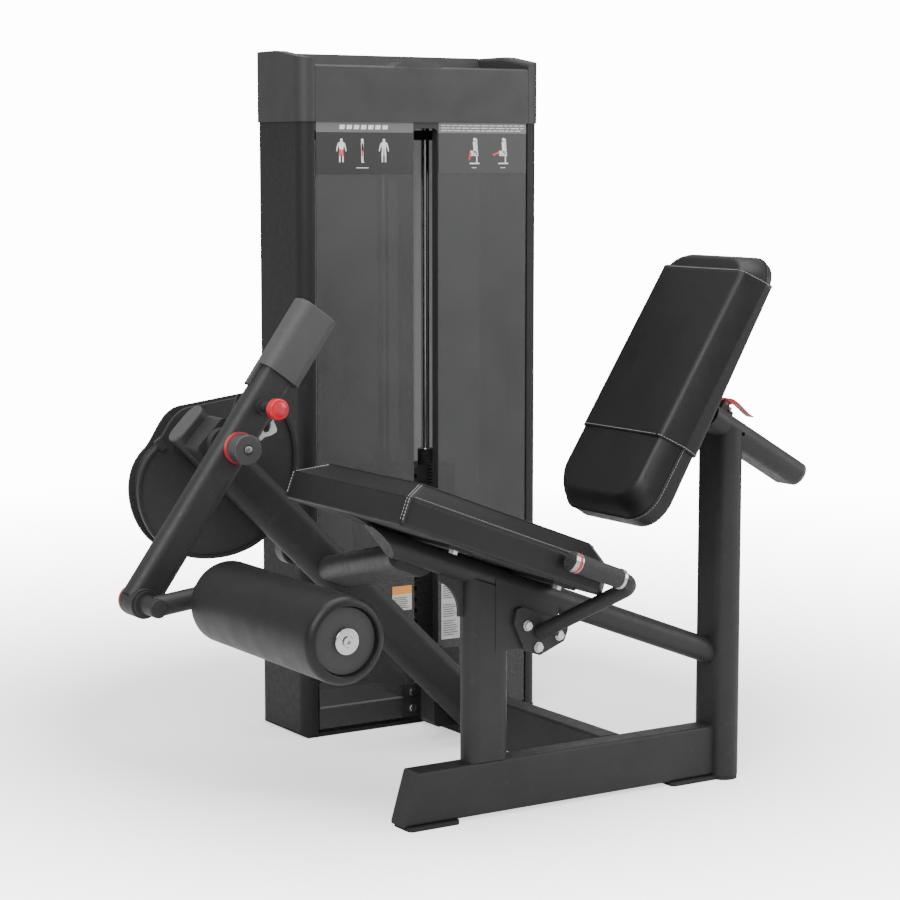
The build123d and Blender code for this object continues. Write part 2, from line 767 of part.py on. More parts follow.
def channel_trim():
    """Dark returns at the channel's two edges and the arched bar across its top."""
    left_edge = channel_x - channel_w / 2
    right_edge = channel_x + channel_w / 2
    y0 = front_y + 1.0
    y1 = front_y + 4.0 + return_depth
    arch_h = 40.0
    left = block(left_edge - 3, left_edge, front_y + 4, y1, panel_bottom_z, cap_bottom_z)
    right = block(right_edge, right_edge + 3, front_y + 4, y1, panel_bottom_z, cap_bottom_z)
    bridge = block(left_edge, right_edge, y0, y1, channel_top_z, cap_bottom_z)
    top = Pos(channel_x, channel_top_z - arch_h / 2) * Rectangle(channel_w, arch_h)
    opening = Pos(channel_x, channel_top_z - arch_h) * RectangleRounded(channel_w - 1.6, 2 * arch_h, 11)
    arch = flat_xz(top - opening, y0, y0 + 4)
    return left + right + bridge + arch


def label_strips():
    """Thin instruction strips on the two panels: a light one over a dark one."""
    return solids(*strip_pair(band_split_z, cap_bottom_z))


def pictogram_strips():
    return solids(*strip_pair(band_bottom_z, band_split_z - 0.2))


def strip_pair(z0, z1):
    left_edge = channel_x - channel_w / 2
    right_edge = channel_x + channel_w / 2
    inner = pillar_inner_x - 3.5
    y1 = front_y + 0.9
    return [block(-inner, left_edge - 1, y1 - 0.6, y1, z0, z1), block(right_edge + 1, inner, y1 - 0.6, y1, z0, z1)]


def lower_placards():
    y1 = front_y + 0.9
    left = block(-82, -33, y1 - 0.6, y1, 256, 310)
    right = block(44, 92, y1 - 0.6, y1, 180, 305)
    return solids(left, right)


def top_cap():
    """Middle of the moulded top cap: front fascia, recessed tray, rear rim and the raised front bump."""
    y0 = front_y - cap_over
    y1 = rear_y + cap_over
    x = pillar_inner_x - 0.6
    body = block(-x, x, y0, y1, cap_bottom_z, cap_front_z)
    body = chamfer(body.edges().filter_by(Axis.X).group_by(Axis.Z)[-1], 4)
    with BuildSketch(Plane.YZ) as basin:
        with BuildLine():
            lip = Line((y0 + 22, cap_front_z + 1), (y0 + 22, cap_front_z - 8))
            floor = ThreePointArc(lip @ 1, (y0 + 70, cap_front_z - 16), (y1 - 22, cap_front_z - 4))
            wall = Line(floor @ 1, (y1 - 22, cap_front_z + 1))
            Line(wall @ 1, lip @ 0)
        make_face()
    body = body - extrude(basin.sketch, x - 8, both=True)
    with BuildSketch(Plane.YZ) as rim:
        Polygon((y1 - 20, cap_front_z - 8), (y1 - 1, cap_front_z - 8), (y1 - 1, cap_end_z - 3), (y1 - 4, cap_end_z),
                (y1 - 9, cap_end_z), (y1 - 16, cap_front_z + 8), align=None)
    body = body + extrude(rim.sketch, x, both=True)
    with BuildSketch() as bump:
        Polygon((cap_bump_x - 66, cap_front_z - 4), (cap_bump_x + 66, cap_front_z - 4),
                (cap_bump_x + 44, cap_front_z + 9), (cap_bump_x - 44, cap_front_z + 9), align=None)
    body = body + flat_xz(bump.sketch, y0 + 2, y0 + 44)
    cavity = block(-x + 4, x - 4, y0 + 4, y1 - 4, cap_bottom_z - 1, cap_front_z - 24)
    return body - cavity


def cap_ends():
    """Raised left and right ends of the top cap; their tops rise a little towards the back."""
    w = tower_w / 2 + cap_over
    y0 = front_y - cap_over
    y1 = rear_y + cap_over
    r = tower_corner_r + cap_over
    tall = Pos(0, 0, cap_bottom_z) * extrude(RectangleRounded(2 * w, y1 - y0, r), cap_end_z - cap_bottom_z)
    with BuildSketch(Plane.YZ) as slope:
        Polygon((y0 - 1, cap_end_z - 18), (y0 + 110, cap_end_z), (y0 + 110, cap_end_z + 20), (y0 - 1, cap_end_z + 20),
                align=None)
    tall = tall - extrude(slope.sketch, w + 5, both=True)
    core = Pos(0, 0, cap_bottom_z - 1) * extrude(RectangleRounded(2 * w - 10, y1 - y0 - 10, r - 5),
                                                 cap_front_z - 22 - cap_bottom_z)
    tall = tall - core
    parts = []
    for side in (-1, 1):
        keep = block(side * pillar_inner_x, side * (w + 5), y0 - 5, y1 + 5, cap_bottom_z, cap_end_z + 5)
        end = (tall & keep).solids().sort_by(SortBy.VOLUME)[-1]
        inner_edges = end.edges().filter_by(lambda e: abs(e.center().X - side * pillar_inner_x) < 0.1
                                            and e.center().Z > cap_front_z + 2 and e.length > 40)
        parts.append(fillet(inner_edges, 9))
    return solids(*parts)


def flange_spans():
    """X range and bolt position of the flange on each side of the cross tube."""
    left = cross_x - rail_t / 2
    right = cross_x + rail_t / 2
    return ((left - 42, left, left - 22), (right, right + 42, right + 22))


def tower_flanges():
    """Flange plates that join the cross tube to the tower base."""
    plates = None
    for x0, x1, bolt_x in flange_spans():
        plate = block(x0, x1, front_y - 8, front_y, 20, 92)
        plates = plate if plates is None else plates + plate
    return plates


def flange_bolts():
    parts = []
    for x0, x1, bolt_x in flange_spans():
        for z in (38, 74):
            parts.append(cyl_y(bolt_x, z, 9, front_y - 9.5, front_y - 8) + hex_bolt_y(bolt_x, z, front_y - 9.5, 8, 6, 4, 0.1))
    return solids(*parts)


# ================================================================ cam group
def polar(r, angle):
    """Point at radius r and angle from the pivot, angle measured from +X towards +Z."""
    return (pivot_x + r * math.cos(math.radians(angle)), pivot_z + r * math.sin(math.radians(angle)))


def cam_outline(inset):
    """Snail outline of the cam flange."""
    with BuildSketch() as face:
        with BuildLine():
            rim = Spline(polar(80 - inset, 194), polar(137 - inset, 214.6), polar(213 - inset, 248.8),
                         polar(252 - inset, 282.8), polar(268 - inset, 308.2), polar(246 - inset, 343.5),
                         polar(221 - inset, 6), polar(178 - inset, 26.7))
            top = Line(rim @ 1, polar(60 - inset, 88))
            Spline(top @ 1, polar(54 - inset, 132), polar(58 - inset, 170), rim @ 0)
        make_face()
    return face.sketch


def flat_xz(sketch, y0, y1):
    """Extrude a sketch drawn in X and Z from y0 to y1."""
    plane = Plane(origin=(0, y1, 0), x_dir=(1, 0, 0), z_dir=(0, -1, 0))
    return extrude(plane * sketch, amount=abs(y1 - y0))


def cam_flanges():
    half = cam_gap / 2
    bore = cyl_y(pivot_x, pivot_z, shaft_r, cam_y - 60, cam_y + 60)
    parts = []
    for y0 in (cam_y - half - flange_t, cam_y + half):
        plate = flat_xz(cam_outline(0), y0, y0 + flange_t)
        parts.append(plate - bore)
    return solids(*parts)


def cam_core():
    """Body of the cam between its flanges; its rim is the belt groove, concentric with the pivot."""
    half = cam_gap / 2
    round_part = cyl_y(pivot_x, pivot_z, groove_r, cam_y - half, cam_y + half)
    core = round_part & flat_xz(cam_outline(14), cam_y - half, cam_y + half)
    return core - cyl_y(pivot_x, pivot_z, shaft_r, cam_y - 60, cam_y + 60)


def cam_rim():
    """Rubber edge strip round the front flange."""
    y1 = cam_y - cam_gap / 2 - flange_t
    strip = flat_xz(cam_outline(0), y1 - 5, y1) - flat_xz(cam_outline(7), y1 - 6, y1 + 1)
    keep = cyl_y(pivot_x, pivot_z, 300, y1 - 10, y1 + 1)
    keep = keep - block(pivot_x - 320, pivot_x + 320, y1 - 12, y1 + 2, pivot_z + 30, pivot_z + 320)
    return (strip & keep - belt_clamp(0.3)).solids().sort_by(SortBy.VOLUME)[-1]


def cam_belt():
    """Part of the belt that lies in the cam's groove."""
    half = belt_w / 2
    r0 = groove_r
    r1 = groove_r + belt_t
    band = ring_y(pivot_x, pivot_z, r1, r0, cam_y - half, cam_y + half)
    wedge = block(pivot_x, pivot_x + 300, cam_y - 40, cam_y + 40, pivot_z - 300, pivot_z)
    return band & wedge


def belt_clamp(grow=0.0):
    """Clamp block at the cam's upper left where the belt is anchored."""
    half = cam_gap / 2 + flange_t
    body = Pos(-708, cam_y - half - 5, 679) * Rot(0, -35, 0) * Box(16 + 2 * grow, 10, 24 + 2 * grow)
    return body


def pivot_shaft():
    """Main shaft from the end cap to the cam."""
    return cyl_y(pivot_x, pivot_z, shaft_r, arm_y - arm_t / 2 - 4, cam_y + cam_gap / 2 + flange_t + 4)


def cam_hubs():
    """Collars that fix the shaft to the cam, and the one behind the lever."""
    half = cam_gap / 2 + flange_t
    rear = ring_y(pivot_x, pivot_z, 40, shaft_r, cam_y + half, cam_y + half + 16)
    front = ring_y(pivot_x, pivot_z, 40, shaft_r, cam_y - half - 14, cam_y - half)
    return solids(rear, front)


def index_plate():
    """Start-position plate on the shaft with the arc slot the pull pin rides in."""
    y1 = housing_front_y - 1
    y0 = arm_y + arm_t / 2 + 1
    face0 = index_back_y - index_t
    hub = cyl_y(pivot_x, pivot_z, 34, y0, y1)
    lean = 90 - arm_lean
    with BuildSketch() as sector:
        with BuildLine():
            a = Line((pivot_x, pivot_z), polar(101, lean - 40))
            b = ThreePointArc(a @ 1, polar(101, lean - 11), polar(101, lean + 18))
            Line(b @ 1, a @ 0)
        make_face()
    body = flat_xz(sector.sketch, face0, index_back_y)
    for step in range(start_range_deg + 1):
        x, z = polar(pin_reach, lean + step)
        body = body - cyl_y(x, z, 5.2, face0 - 1, index_back_y + 1)
    for step in range(0, start_range_deg + 1, 6):
        x, z = polar(pin_reach, lean + step)
        body = body - cyl_y(x, z, 6.0, face0 - 1, index_back_y + 1)
    for step in range(24, 38, 5):
        x, z = polar(102, lean - step)
        body = body - cyl_y(x, z, 3.2, face0 - 1, index_back_y + 1)
    return hub + body - cyl_y(pivot_x, pivot_z, shaft_r, y0 - 1, y1 + 1)


def pivot_cap():
    """Round end cap on the shaft in front of the lever."""
    face = arm_y - arm_t / 2
    cap = cyl_y(pivot_x, pivot_z, 29, face - 46, face - 14)
    cap = fillet(cap.edges().group_by(Axis.Y)[0], 3)
    return cap - cyl_y(pivot_x, pivot_z, 10, face - 50, face - 42)


def pivot_ring():
    face = arm_y - arm_t / 2
    return ring_y(pivot_x, pivot_z, 31, shaft_r + 3, face - 14, face - 4.2)


# ================================================================ lever group
def arm_plane(distance, y=arm_y):
    """Plane across the lever at a distance from the pivot, upwards positive; X across, Y along the shaft."""
    along = up_dir(arm_lean)
    origin = Vector(pivot_x, y, pivot_z) + along * distance
    return Plane(origin=origin, x_dir=tuple(down_dir(arm_lean)), z_dir=tuple(along))


def arm_point(distance):
    along = up_dir(arm_lean)
    return (pivot_x + along.X * distance, pivot_z + along.Z * distance)


def lever_arm():
    outer = RectangleRounded(arm_w, arm_t, arm_corner_r)
    inner = RectangleRounded(arm_w - 6, arm_t - 6, arm_corner_r - 3)
    total = arm_low + arm_high
    body = extrude(arm_plane(-arm_low) * outer, total)
    hollow = extrude(arm_plane(-arm_low - 1) * inner, total + 2)
    tube = body - hollow
    hub = cyl_y(pivot_x, pivot_z, shaft_r + 7, arm_y - arm_t / 2, arm_y + arm_t / 2)
    x, z = arm_point(pin_reach)
    tube = tube + hub - cyl_y(pivot_x, pivot_z, shaft_r + running_gap, arm_y - 60, arm_y + 60)
    tube = tube - cyl_y(x, z, 10, arm_y - 60, arm_y + 60)
    bx, bz = arm_point(-arm_low)
    return tube - cyl_y(bx, bz, boss_r, arm_y - 60, arm_y + 60)


def arm_sleeve():
    """Rubber sleeve over the lever's upper end, with a tongue down its rear side."""
    offset = Pos((sleeve_w - arm_w) / 2 - 6, 0)
    outer = offset * RectangleRounded(sleeve_w, sleeve_t, 22)
    inner = RectangleRounded(arm_w + 0.6, arm_t + 0.6, arm_corner_r + 0.3)
    start = arm_high - sleeve_len + 8
    tail = 46.0
    body = extrude(arm_plane(start - tail) * outer, sleeve_len + tail)
    body = fillet(body.edges().group_by(Axis.Z)[-1], 3)
    body = body - extrude(arm_plane(start - tail - 1) * inner, arm_high - start + tail + 1)
    front = extrude(arm_plane(start - tail - 1) * (Pos(20, 0) * Rectangle(sleeve_w + 12, sleeve_t + 30)), tail + 1)
    side = extrude(arm_plane(start - tail - 1) * (Pos(0, -24) * Rectangle(200, 48)), tail + 1)
    body = body - front - side
    return body.solids().sort_by(SortBy.VOLUME)[-1]


def lever_boss():
    """Boss at the lever's lower end that holds the pad axle."""
    x, z = arm_point(-arm_low)
    body = cyl_y(x, z, boss_r, arm_y - arm_t / 2 - 8, arm_y + arm_t / 2 + 2)
    body = fillet(body.edges().filter_by(GeomType.CIRCLE), 2)
    return body - cyl_y(x, z, axle_r + running_gap, arm_y - 60, arm_y + 60)


def boss_cap():
    x, z = arm_point(-arm_low)
    y0 = arm_y + arm_t / 2 + 2
    cap = cyl_y(x, z, boss_r - 4, y0 + 6, y0 + 13)
    return fillet(cap.edges().group_by(Axis.Y)[-1], 3)


def boss_ring():
    x, z = arm_point(-arm_low)
    y0 = arm_y + arm_t / 2 + 2
    return cyl_y(x, z, boss_r - 1, y0, y0 + 6)


def pin_housing():
    """Threaded sleeve of the pull pin in the lever."""
    x, z = arm_point(pin_reach)
    face = arm_y - arm_t / 2
    sleeve = ring_y(x, z, 10, 5 + running_gap, face - 26, arm_y + arm_t / 2)
    nut = ring_y(x, z, 15, 10, face - 9, face)
    return sleeve + nut


def pull_pin():
    x, z = arm_point(pin_reach)
    face = arm_y - arm_t / 2
    return cyl_y(x, z, 5, face - 60, index_back_y - 2)


def pull_knob():
    x, z = arm_point(pin_reach)
    face = arm_y - arm_t / 2
    head = cyl_y(x, z, 20.5, face - 72, face - 52) + cyl_y(x, z, 12, face - 52, face - 42)
    head = fillet(head.edges().filter_by(GeomType.CIRCLE).sort_by(SortBy.RADIUS)[-2:], 4)
    return head - cyl_y(x, z, 5, face - 60, face)


def pointer():
    """Bent pointer beside the lever that reads against the index plate."""
    y0 = arm_y + arm_t / 2 - 7
    points = ((-542.5, 732.0), (-534.8, 713.0), (-536.6, 707.5), (-549.0, 701.8), (-567.0, 699.0),
              (-561.0, 707.9), (-551.9, 709.6), (-548.7, 719.1), (-548.0, 727.0))
    with BuildSketch() as shape:
        Polygon(*points, align=None)
    arrow = flat_xz(shape.sketch, y0, y0 + 3)
    tail = Pos(-570, y0 + 1.5, 706) * Rot(0, 54.5, 0) * Box(20, 3, 16)
    arm = extrude(arm_plane(-60) * RectangleRounded(arm_w, arm_t, arm_corner_r), 160)
    return arrow + (tail - arm)


# ================================================================ ankle pad group
def pad_link():
    """Axle in the lever's boss with the arm that carries the roller shaft."""
    x, z = arm_point(-arm_low)
    near = arm_y - arm_t / 2 - 8
    axle = cyl_y(x, z, axle_r, near - 62, arm_y + arm_t / 2 + 1)
    collar = cyl_y(x, z, axle_r + 7, near - 9, near - 1)
    link_y = near - 38
    bar = rod_between((x, link_y, z), (roller_x, link_y, roller_z), link_r)
    end = cyl_y(roller_x, roller_z, link_r + 3, link_y - 22, link_y + 22)
    body = axle + collar + bar + end
    body = fillet(body.edges().filter_by(GeomType.CIRCLE).group_by(Axis.Y)[0], 3)
    return body - cyl_y(roller_x, roller_z, roller_shaft_r, link_y - 60, link_y + 14)


def roller_shaft():
    near = arm_y - arm_t / 2 - 8
    return cyl_y(roller_x, roller_z, roller_shaft_r, roller_near_y + 12, near - 24)


def roller_washer():
    body = cyl_y(roller_x, roller_z, 23.3, roller_near_y + 1, roller_near_y + 9)
    body = fillet(body.edges().group_by(Axis.Y)[0], 2)
    return body - cyl_y(roller_x, roller_z, 11, roller_near_y - 4, roller_near_y + 4)


def roller_bolt():
    head = cyl_y(roller_x, roller_z, 9, roller_near_y - 2.5, roller_near_y + 4)
    socket = Pos(roller_x, roller_near_y - 1, roller_z) * Rot(90, 0, 0) * extrude(RegularPolygon(4.6, 6), 3, both=True)
    return head - socket


def roller_core():
    """Hard core of the roller with its end discs, running on the shaft."""
    bore = roller_shaft_r + running_gap
    tube = ring_y(roller_x, roller_z, core_r, bore, roller_near_y + 12, roller_far_y - 6)
    near = ring_y(roller_x, roller_z, 58, bore, roller_near_y + 9.5, roller_near_y + 15)
    far = ring_y(roller_x, roller_z, 58, bore, roller_far_y - 12, roller_far_y - 6)
    return tube + near + far


def roller_foam():
    near = roller_near_y
    far = roller_far_y
    body = cyl_y(roller_x, roller_z, roller_r, near, far)
    body = fillet(body.edges().filter_by(GeomType.CIRCLE), roller_rim_r)
    body = body - cyl_y(roller_x, roller_z, core_r + 0.3, near - 1, far + 1)
    body = body - cyl_y(roller_x, roller_z, 58.5, near - 1, near + 15.5)
    return body - cyl_y(roller_x, roller_z, 58.5, far - 12.5, far + 1)


# ================================================================ seat
def seat_plane(height=0.0):
    """Plane on the seat's underside: X along the seat, Y across, origin at the front centre."""
    origin = Vector(seat_front_x, machine_y, seat_front_z) + up_dir(pitch) * height
    return Plane(origin=origin, x_dir=tuple(down_dir(pitch)), z_dir=tuple(up_dir(pitch)))


def seat_outline(inset):
    """Seat outline with its rear corners cut off; the rear edge steps in less than the others."""
    half = seat_w / 2 - inset
    rear = seat_len - inset * 0.35
    cut = seat_rear_cut
    return Polygon((inset, -half), (rear - cut, -half), (rear, -half + cut),
                   (rear, half - cut), (rear - cut, half), (inset, half), align=None)


def seat_cushion():
    sides = extrude(seat_plane() * seat_outline(0), seat_side_h)
    pocket = extrude(seat_plane(-1) * seat_outline(8), seat_board_t + 1.5)
    lower = seat_plane(seat_side_h) * seat_outline(0)
    upper = seat_plane(seat_side_h + seat_bevel_h) * seat_outline(seat_bevel_in)
    return sides + loft([lower, upper]) - pocket - handle_clearance()


def seat_board():
    """Base board under the cushion."""
    return extrude(seat_plane(0.1) * seat_outline(8.5), seat_board_t) - handle_clearance()


def handle_clearance():
    """Space kept free in the seat's underside where the two handle tubes pass."""
    start, bend, tip = handle_points()
    lane = rod_between(tuple(start), tuple(bend), handle_r + 2.5)
    return lane + mirror_machine(lane)


def strap_places():
    """Distances of the two straps from the seat's front edge."""
    return (174.5, 416.5)


def seat_straps():
    """Two steel straps welded across the top of the seat tube; the base board bolts to them."""
    parts = []
    for x in strap_places():
        parts.append(extrude(seat_plane(-strap_t) * (Pos(x, 0) * Rectangle(52, 300)), strap_t))
    return solids(*parts)


def seat_bolts():
    parts = []
    for x in strap_places():
        for side in (-1, 1):
            spot = seat_plane(-strap_t - 7) * (Pos(x, side * 128) * RegularPolygon(9, 6))
            parts.append(extrude(spot, 7))
    return solids(*parts)


# ================================================================ handles
def handle_bracket():
    """Welded box under the seat tube that the handle plates bolt to."""
    back = down_dir(pitch)
    mid = Vector(seat_tube_x, machine_y, seat_tube_z) + back * 128
    body = block(main_post_x + 10, -150, machine_y - handle_y + 8, machine_y + handle_y - 8, 318, 470)
    above = Pos(mid.X, mid.Y, mid.Z) * Rot(0, pitch, 0) * Pos(0, 0, 100) * Box(500, 200, 200)
    lower = Pos(-150, machine_y, 318) * Rot(0, -30, 0) * Pos(0, 0, -60) * Box(200, 200, 120)
    hollow = block(main_post_x + oval_w / 2 - 1, -156, machine_y - handle_y + 14, machine_y + handle_y - 14, 324, 460)
    post = run(oval(oval_w, oval_t), (main_post_x, machine_y, 100), (main_post_x, machine_y, 480), (1, 0, 0))
    return (body - above - lower - hollow - seat_tube_solid(seat_tube_r) - post).solids().sort_by(SortBy.VOLUME)[-1]


def handle_plate_outline():
    return ((-250.0, 396.0), (-256.0, 368.0), (-231.0, 314.0), (-197.0, 302.0),
            (-141.0, 324.0), (-131.0, 348.0), (-150.0, 366.0), (-236.0, 398.0))


def handle_plates():
    near = machine_y - handle_y
    with BuildSketch() as shape:
        Polygon(*handle_plate_outline(), align=None)
        corners = shape.vertices()
        fillet(corners, 6)
    plate = flat_xz(shape.sketch, near, near + 8)
    return solids(plate, mirror_machine(plate))


def handle_bolts():
    near = machine_y - handle_y
    parts = []
    for x, z in ((-226.0, 362.0), (-153.0, 336.0), (-201.0, 318.0)):
        bolt = hex_bolt_y(x, z, near, 8.2, 7, 4, 0.5)
        washer = ring_y(x, z, 10, 4, near - 1.6, near)
        bolt = bolt + washer
        parts.append(bolt)
        parts.append(mirror_machine(bolt))
    between_plates = block(-400, 0, near, machine_y + handle_y, 200, 500)
    trimmed = []
    for part in parts:
        trimmed.append(part - between_plates)
    return solids(*trimmed)


def handle_points():
    """Start, bend and grip end of the near handle's centreline."""
    near = machine_y - handle_y
    forward = down_dir(grip_pitch) * -1
    start = Vector(-197, near, 346)
    bend = Vector(-127, machine_y - grip_y, 462)
    tip = bend + forward * 156
    return start, bend, tip


def handle_tube():
    """Bent handle tube from its plate out and forward to the grip."""
    start, bend, tip = handle_points()
    stop = bend + (tip - bend) * 0.94
    with BuildLine() as path:
        FilletPolyline(tuple(start), tuple(bend), tuple(stop), radius=26)
    section = Plane(origin=start, z_dir=bend - start) * Circle(handle_r)
    tube = sweep(section, path=path.line)
    near = machine_y - handle_y
    return tube - block(-300, -100, near, near + 60, 250, 450)


def handle_tubes():
    tube = handle_tube()
    tube = tube.solids().sort_by(SortBy.VOLUME)[-1]
    return solids(tube, mirror_machine(tube))


def grip_span(first, last, r_out, r_in):
    """Ring on the grip's axis between two fractions of the straight from bend to tip."""
    start, bend, tip = handle_points()
    a = bend + (tip - bend) * first
    b = bend + (tip - bend) * last
    body = rod_between(tuple(a), tuple(b), r_out)
    if r_in > 0:
        body = body - rod_between(tuple(a), tuple(b), r_in)
    return body


def handle_grips():
    body = grip_span(0.26, 0.91, grip_r + 2.5, handle_r)
    return solids(body, mirror_machine(body))


def grip_rings():
    body = grip_span(0.91, 0.94, grip_r + 3.5, handle_r)
    ring = grip_span(0.22, 0.26, grip_r + 3, handle_r)
    return solids(body, ring, mirror_machine(body), mirror_machine(ring))


def grip_caps():
    body = grip_span(0.94, 1.0, grip_r + 3, 0)
    return solids(body, mirror_machine(body))


# ================================================================ backrest
def back_plane(along=0.0):
    """Plane across the backrest: X is depth from the front face, Y across the machine."""
    origin = Vector(back_x, machine_y, back_z) + up_dir(recline) * along
    return Plane(origin=origin, x_dir=tuple(down_dir(recline)), z_dir=tuple(up_dir(recline)))


def back_face_plane(depth):
    """Plane parallel to the backrest's front: X across the machine, Y up the backrest."""
    middle = (back_low + back_high) / 2
    origin = Vector(back_x, machine_y, back_z) + up_dir(recline) * middle + down_dir(recline) * depth
    return Plane(origin=origin, x_dir=(0, 1, 0), z_dir=tuple(down_dir(recline)))


def back_rear_plane(along=0.0):
    """Plane on the backrest's rear face, which leans a little less than the front: X out of the back, Y across."""
    corner = Vector(back_x, machine_y, back_z) + down_dir(recline) * back_depth
    origin = corner + up_dir(back_rear_angle) * along
    return Plane(origin=origin, x_dir=tuple(down_dir(back_rear_angle)), z_dir=tuple(up_dir(back_rear_angle)))


def back_cushion():
    """Backrest cushion, thinner towards its top."""
    height = back_high - back_low
    inset = (back_w - back_face_w) / 2
    front = back_face_plane(0) * RectangleRounded(back_face_w, height - 2 * inset, back_corner_r - 8)
    edge = back_face_plane(back_bevel) * RectangleRounded(back_w, height, back_corner_r)
    body = loft([front, edge])
    rear = extrude(back_face_plane(back_bevel) * RectangleRounded(back_w, height, back_corner_r),
                   back_depth - back_bevel)
    behind = extrude(back_rear_plane(-40) * (Pos(100, 0) * Rectangle(200, 400)), 600)
    return body + rear - behind


def back_section(grow, depth):
    """Cross-section of the backrest, grown outwards."""
    face = back_face_w / 2 + grow * 0.7
    side = back_w / 2 + grow
    return Polygon((-grow, -face), (back_bevel - grow * 0.3, -side), (depth + grow, -side),
                   (depth + grow, side), (back_bevel - grow * 0.3, side), (-grow, face), align=None)


def back_sleeve():
    """Thicker cover band round the middle of the backrest."""
    top_depth = back_depth - band_high * math.tan(math.radians(recline - back_rear_angle))
    outer = loft([back_plane(0) * back_section(3.0, back_depth), back_plane(band_high) * back_section(3.0, top_depth)])
    inner = loft([back_plane(-0.01) * back_section(0.3, back_depth),
                  back_plane(band_high + 0.01) * back_section(0.3, top_depth)])
    opening = extrude(back_rear_plane(56) * (Pos(2, 0) * Rectangle(12, 196)), 158)
    return outer - inner - opening


def back_plate():
    """Steel plate behind the cushion with the bracket to the slider."""
    plate = extrude(back_rear_plane(62) * (Pos(3.6, 0) * Rectangle(6, 180)), 146)
    slider = slider_solid(slider_w, slider_t, -86)
    ahead = extrude(back_rear_plane(-60) * (Pos(-200 + 6.6, 0) * Rectangle(400, 400)), 400)
    neck = slider_neck() - ahead
    return plate + neck - slider


def slider_neck():
    """Collar block that joins the slider to the plate."""
    back = down_dir(receiver_pitch)
    mid = Vector(receiver_x, machine_y, receiver_z)
    return run(RectangleRounded(slider_w + 20, slider_t + 16, 10), tuple(mid - back * 104), tuple(mid - back * 56), (0, 1, 0))


def slider_solid(w, t, start):
    back = down_dir(receiver_pitch)
    mid = Vector(receiver_x, machine_y, receiver_z)
    return run(oval(w, t), tuple(mid + back * start), tuple(mid + back * 190), (0, 1, 0))


def back_slider():
    """Inner tube that slides in the receiver, with the slot the lock pin sits in."""
    body = slider_solid(slider_w, slider_t, -86) - slider_solid(slider_w - 6, slider_t - 6, -90)
    back = down_dir(receiver_pitch)
    up = up_dir(receiver_pitch)
    mid = Vector(receiver_x, machine_y, receiver_z)
    for step in range(0, 13):
        spot = mid + back * (lock_reach() - 2 + step * 9)
        body = body - rod_between(tuple(spot), tuple(spot + up * 40), 7.2)
    for step in range(0, 6):
        spot = mid + back * (lock_reach() - 2 + step * 21)
        body = body - rod_between(tuple(spot), tuple(spot + up * 40), 9.0)
    return body


def lock_reach():
    """Distance of the lock pin behind the receiver's reference point."""
    return 30.0


def receiver_tube():
    inner = receiver_solid(slider_w + 2 * slide_gap, slider_t + 2 * slide_gap)
    body = receiver_solid(oval_w, oval_t) - inner
    back = down_dir(receiver_pitch)
    up = up_dir(receiver_pitch)
    spot = Vector(receiver_x, machine_y, receiver_z) + back * lock_reach()
    body = body - rod_between(tuple(spot), tuple(spot + up * 60), 8)
    side = Vector(receiver_x, 0, receiver_z) + back * receiver_hole
    return body - cyl_y(side.X, side.Z, 4, machine_y - 60, machine_y - 30)


def receiver_cap():
    back = down_dir(receiver_pitch)
    mid = Vector(receiver_x, machine_y, receiver_z) + back * receiver_rear
    cap = run(oval(oval_w, oval_t), tuple(mid), tuple(mid + back * 7), (0, 1, 0))
    plug = run(oval(slider_w + 1, slider_t + 1), tuple(mid - back * 14), tuple(mid), (0, 1, 0))
    return cap + plug


def lock_pin():
    """Spring pin through the receiver's roof."""
    back = down_dir(receiver_pitch)
    up = up_dir(receiver_pitch)
    spot = Vector(receiver_x, machine_y, receiver_z) + back * lock_reach()
    return rod_between(tuple(spot + up * 10), tuple(spot + up * 44), 5)


def lock_housing():
    """Boss on the receiver's roof that guides the lock pin and carries the lever's ears."""
    back = down_dir(receiver_pitch)
    up = up_dir(receiver_pitch)
    spot = Vector(receiver_x, machine_y, receiver_z) + back * lock_reach()
    tube = rod_between(tuple(spot + up * (oval_t / 2)), tuple(spot + up * 36), 11)
    stem = rod_between(tuple(spot + up * (slider_t / 2 + 2)), tuple(spot + up * (oval_t / 2)), 8)
    body = tube + stem - rod_between(tuple(spot), tuple(spot + up * 60), 5 + running_gap)
    ear_at = spot + back * -22 + up * (oval_t / 2 + 12)
    for side in (-1, 1):
        y = machine_y + side * 12
        ear = Pos(ear_at.X, y, ear_at.Z) * Rot(0, receiver_pitch, 0) * Box(16, 4, 24)
        body = body + (ear - receiver_solid(oval_w, oval_t))
    web = Pos(spot.X, spot.Y, spot.Z) * Rot(0, receiver_pitch, 0) * Pos(-14, 0, oval_t / 2 + 2) * Box(32, 28, 4)
    body = body + web - rod_between(tuple(spot), tuple(spot + up * 60), 5 + running_gap)
    return body - cyl_y(lever_axis()[0], lever_axis()[1], 3 + running_gap, machine_y - 30, machine_y + 30)


def lever_axis():
    back = down_dir(receiver_pitch)
    up = up_dir(receiver_pitch)
    spot = Vector(receiver_x, 0, receiver_z) + back * (lock_reach() - 22) + up * (oval_t / 2 + 18)
    return (spot.X, spot.Z)


def release_lever():
    """Red lever that lifts the lock pin."""
    x, z = lever_axis()
    axle = cyl_y(x, z, 3, machine_y - 14, machine_y + 14)
    with BuildSketch() as shape:
        with BuildLine():
            top = Spline((-8, 4), (6, 13), (34, 12), (80, 2))
            tip = Line(top @ 1, (79, -1))
            under = Spline(tip @ 1, (48, 5), (27, 7.5), (9, -4))
            nose = Line(under @ 1, (-4, -7))
            Line(nose @ 1, top @ 0)
        make_face()
    blade = flat_xz(shape.sketch, -9.5, 9.5)
    blade = Pos(x, machine_y, z) * Rot(0, 24, 0) * blade
    return blade + axle


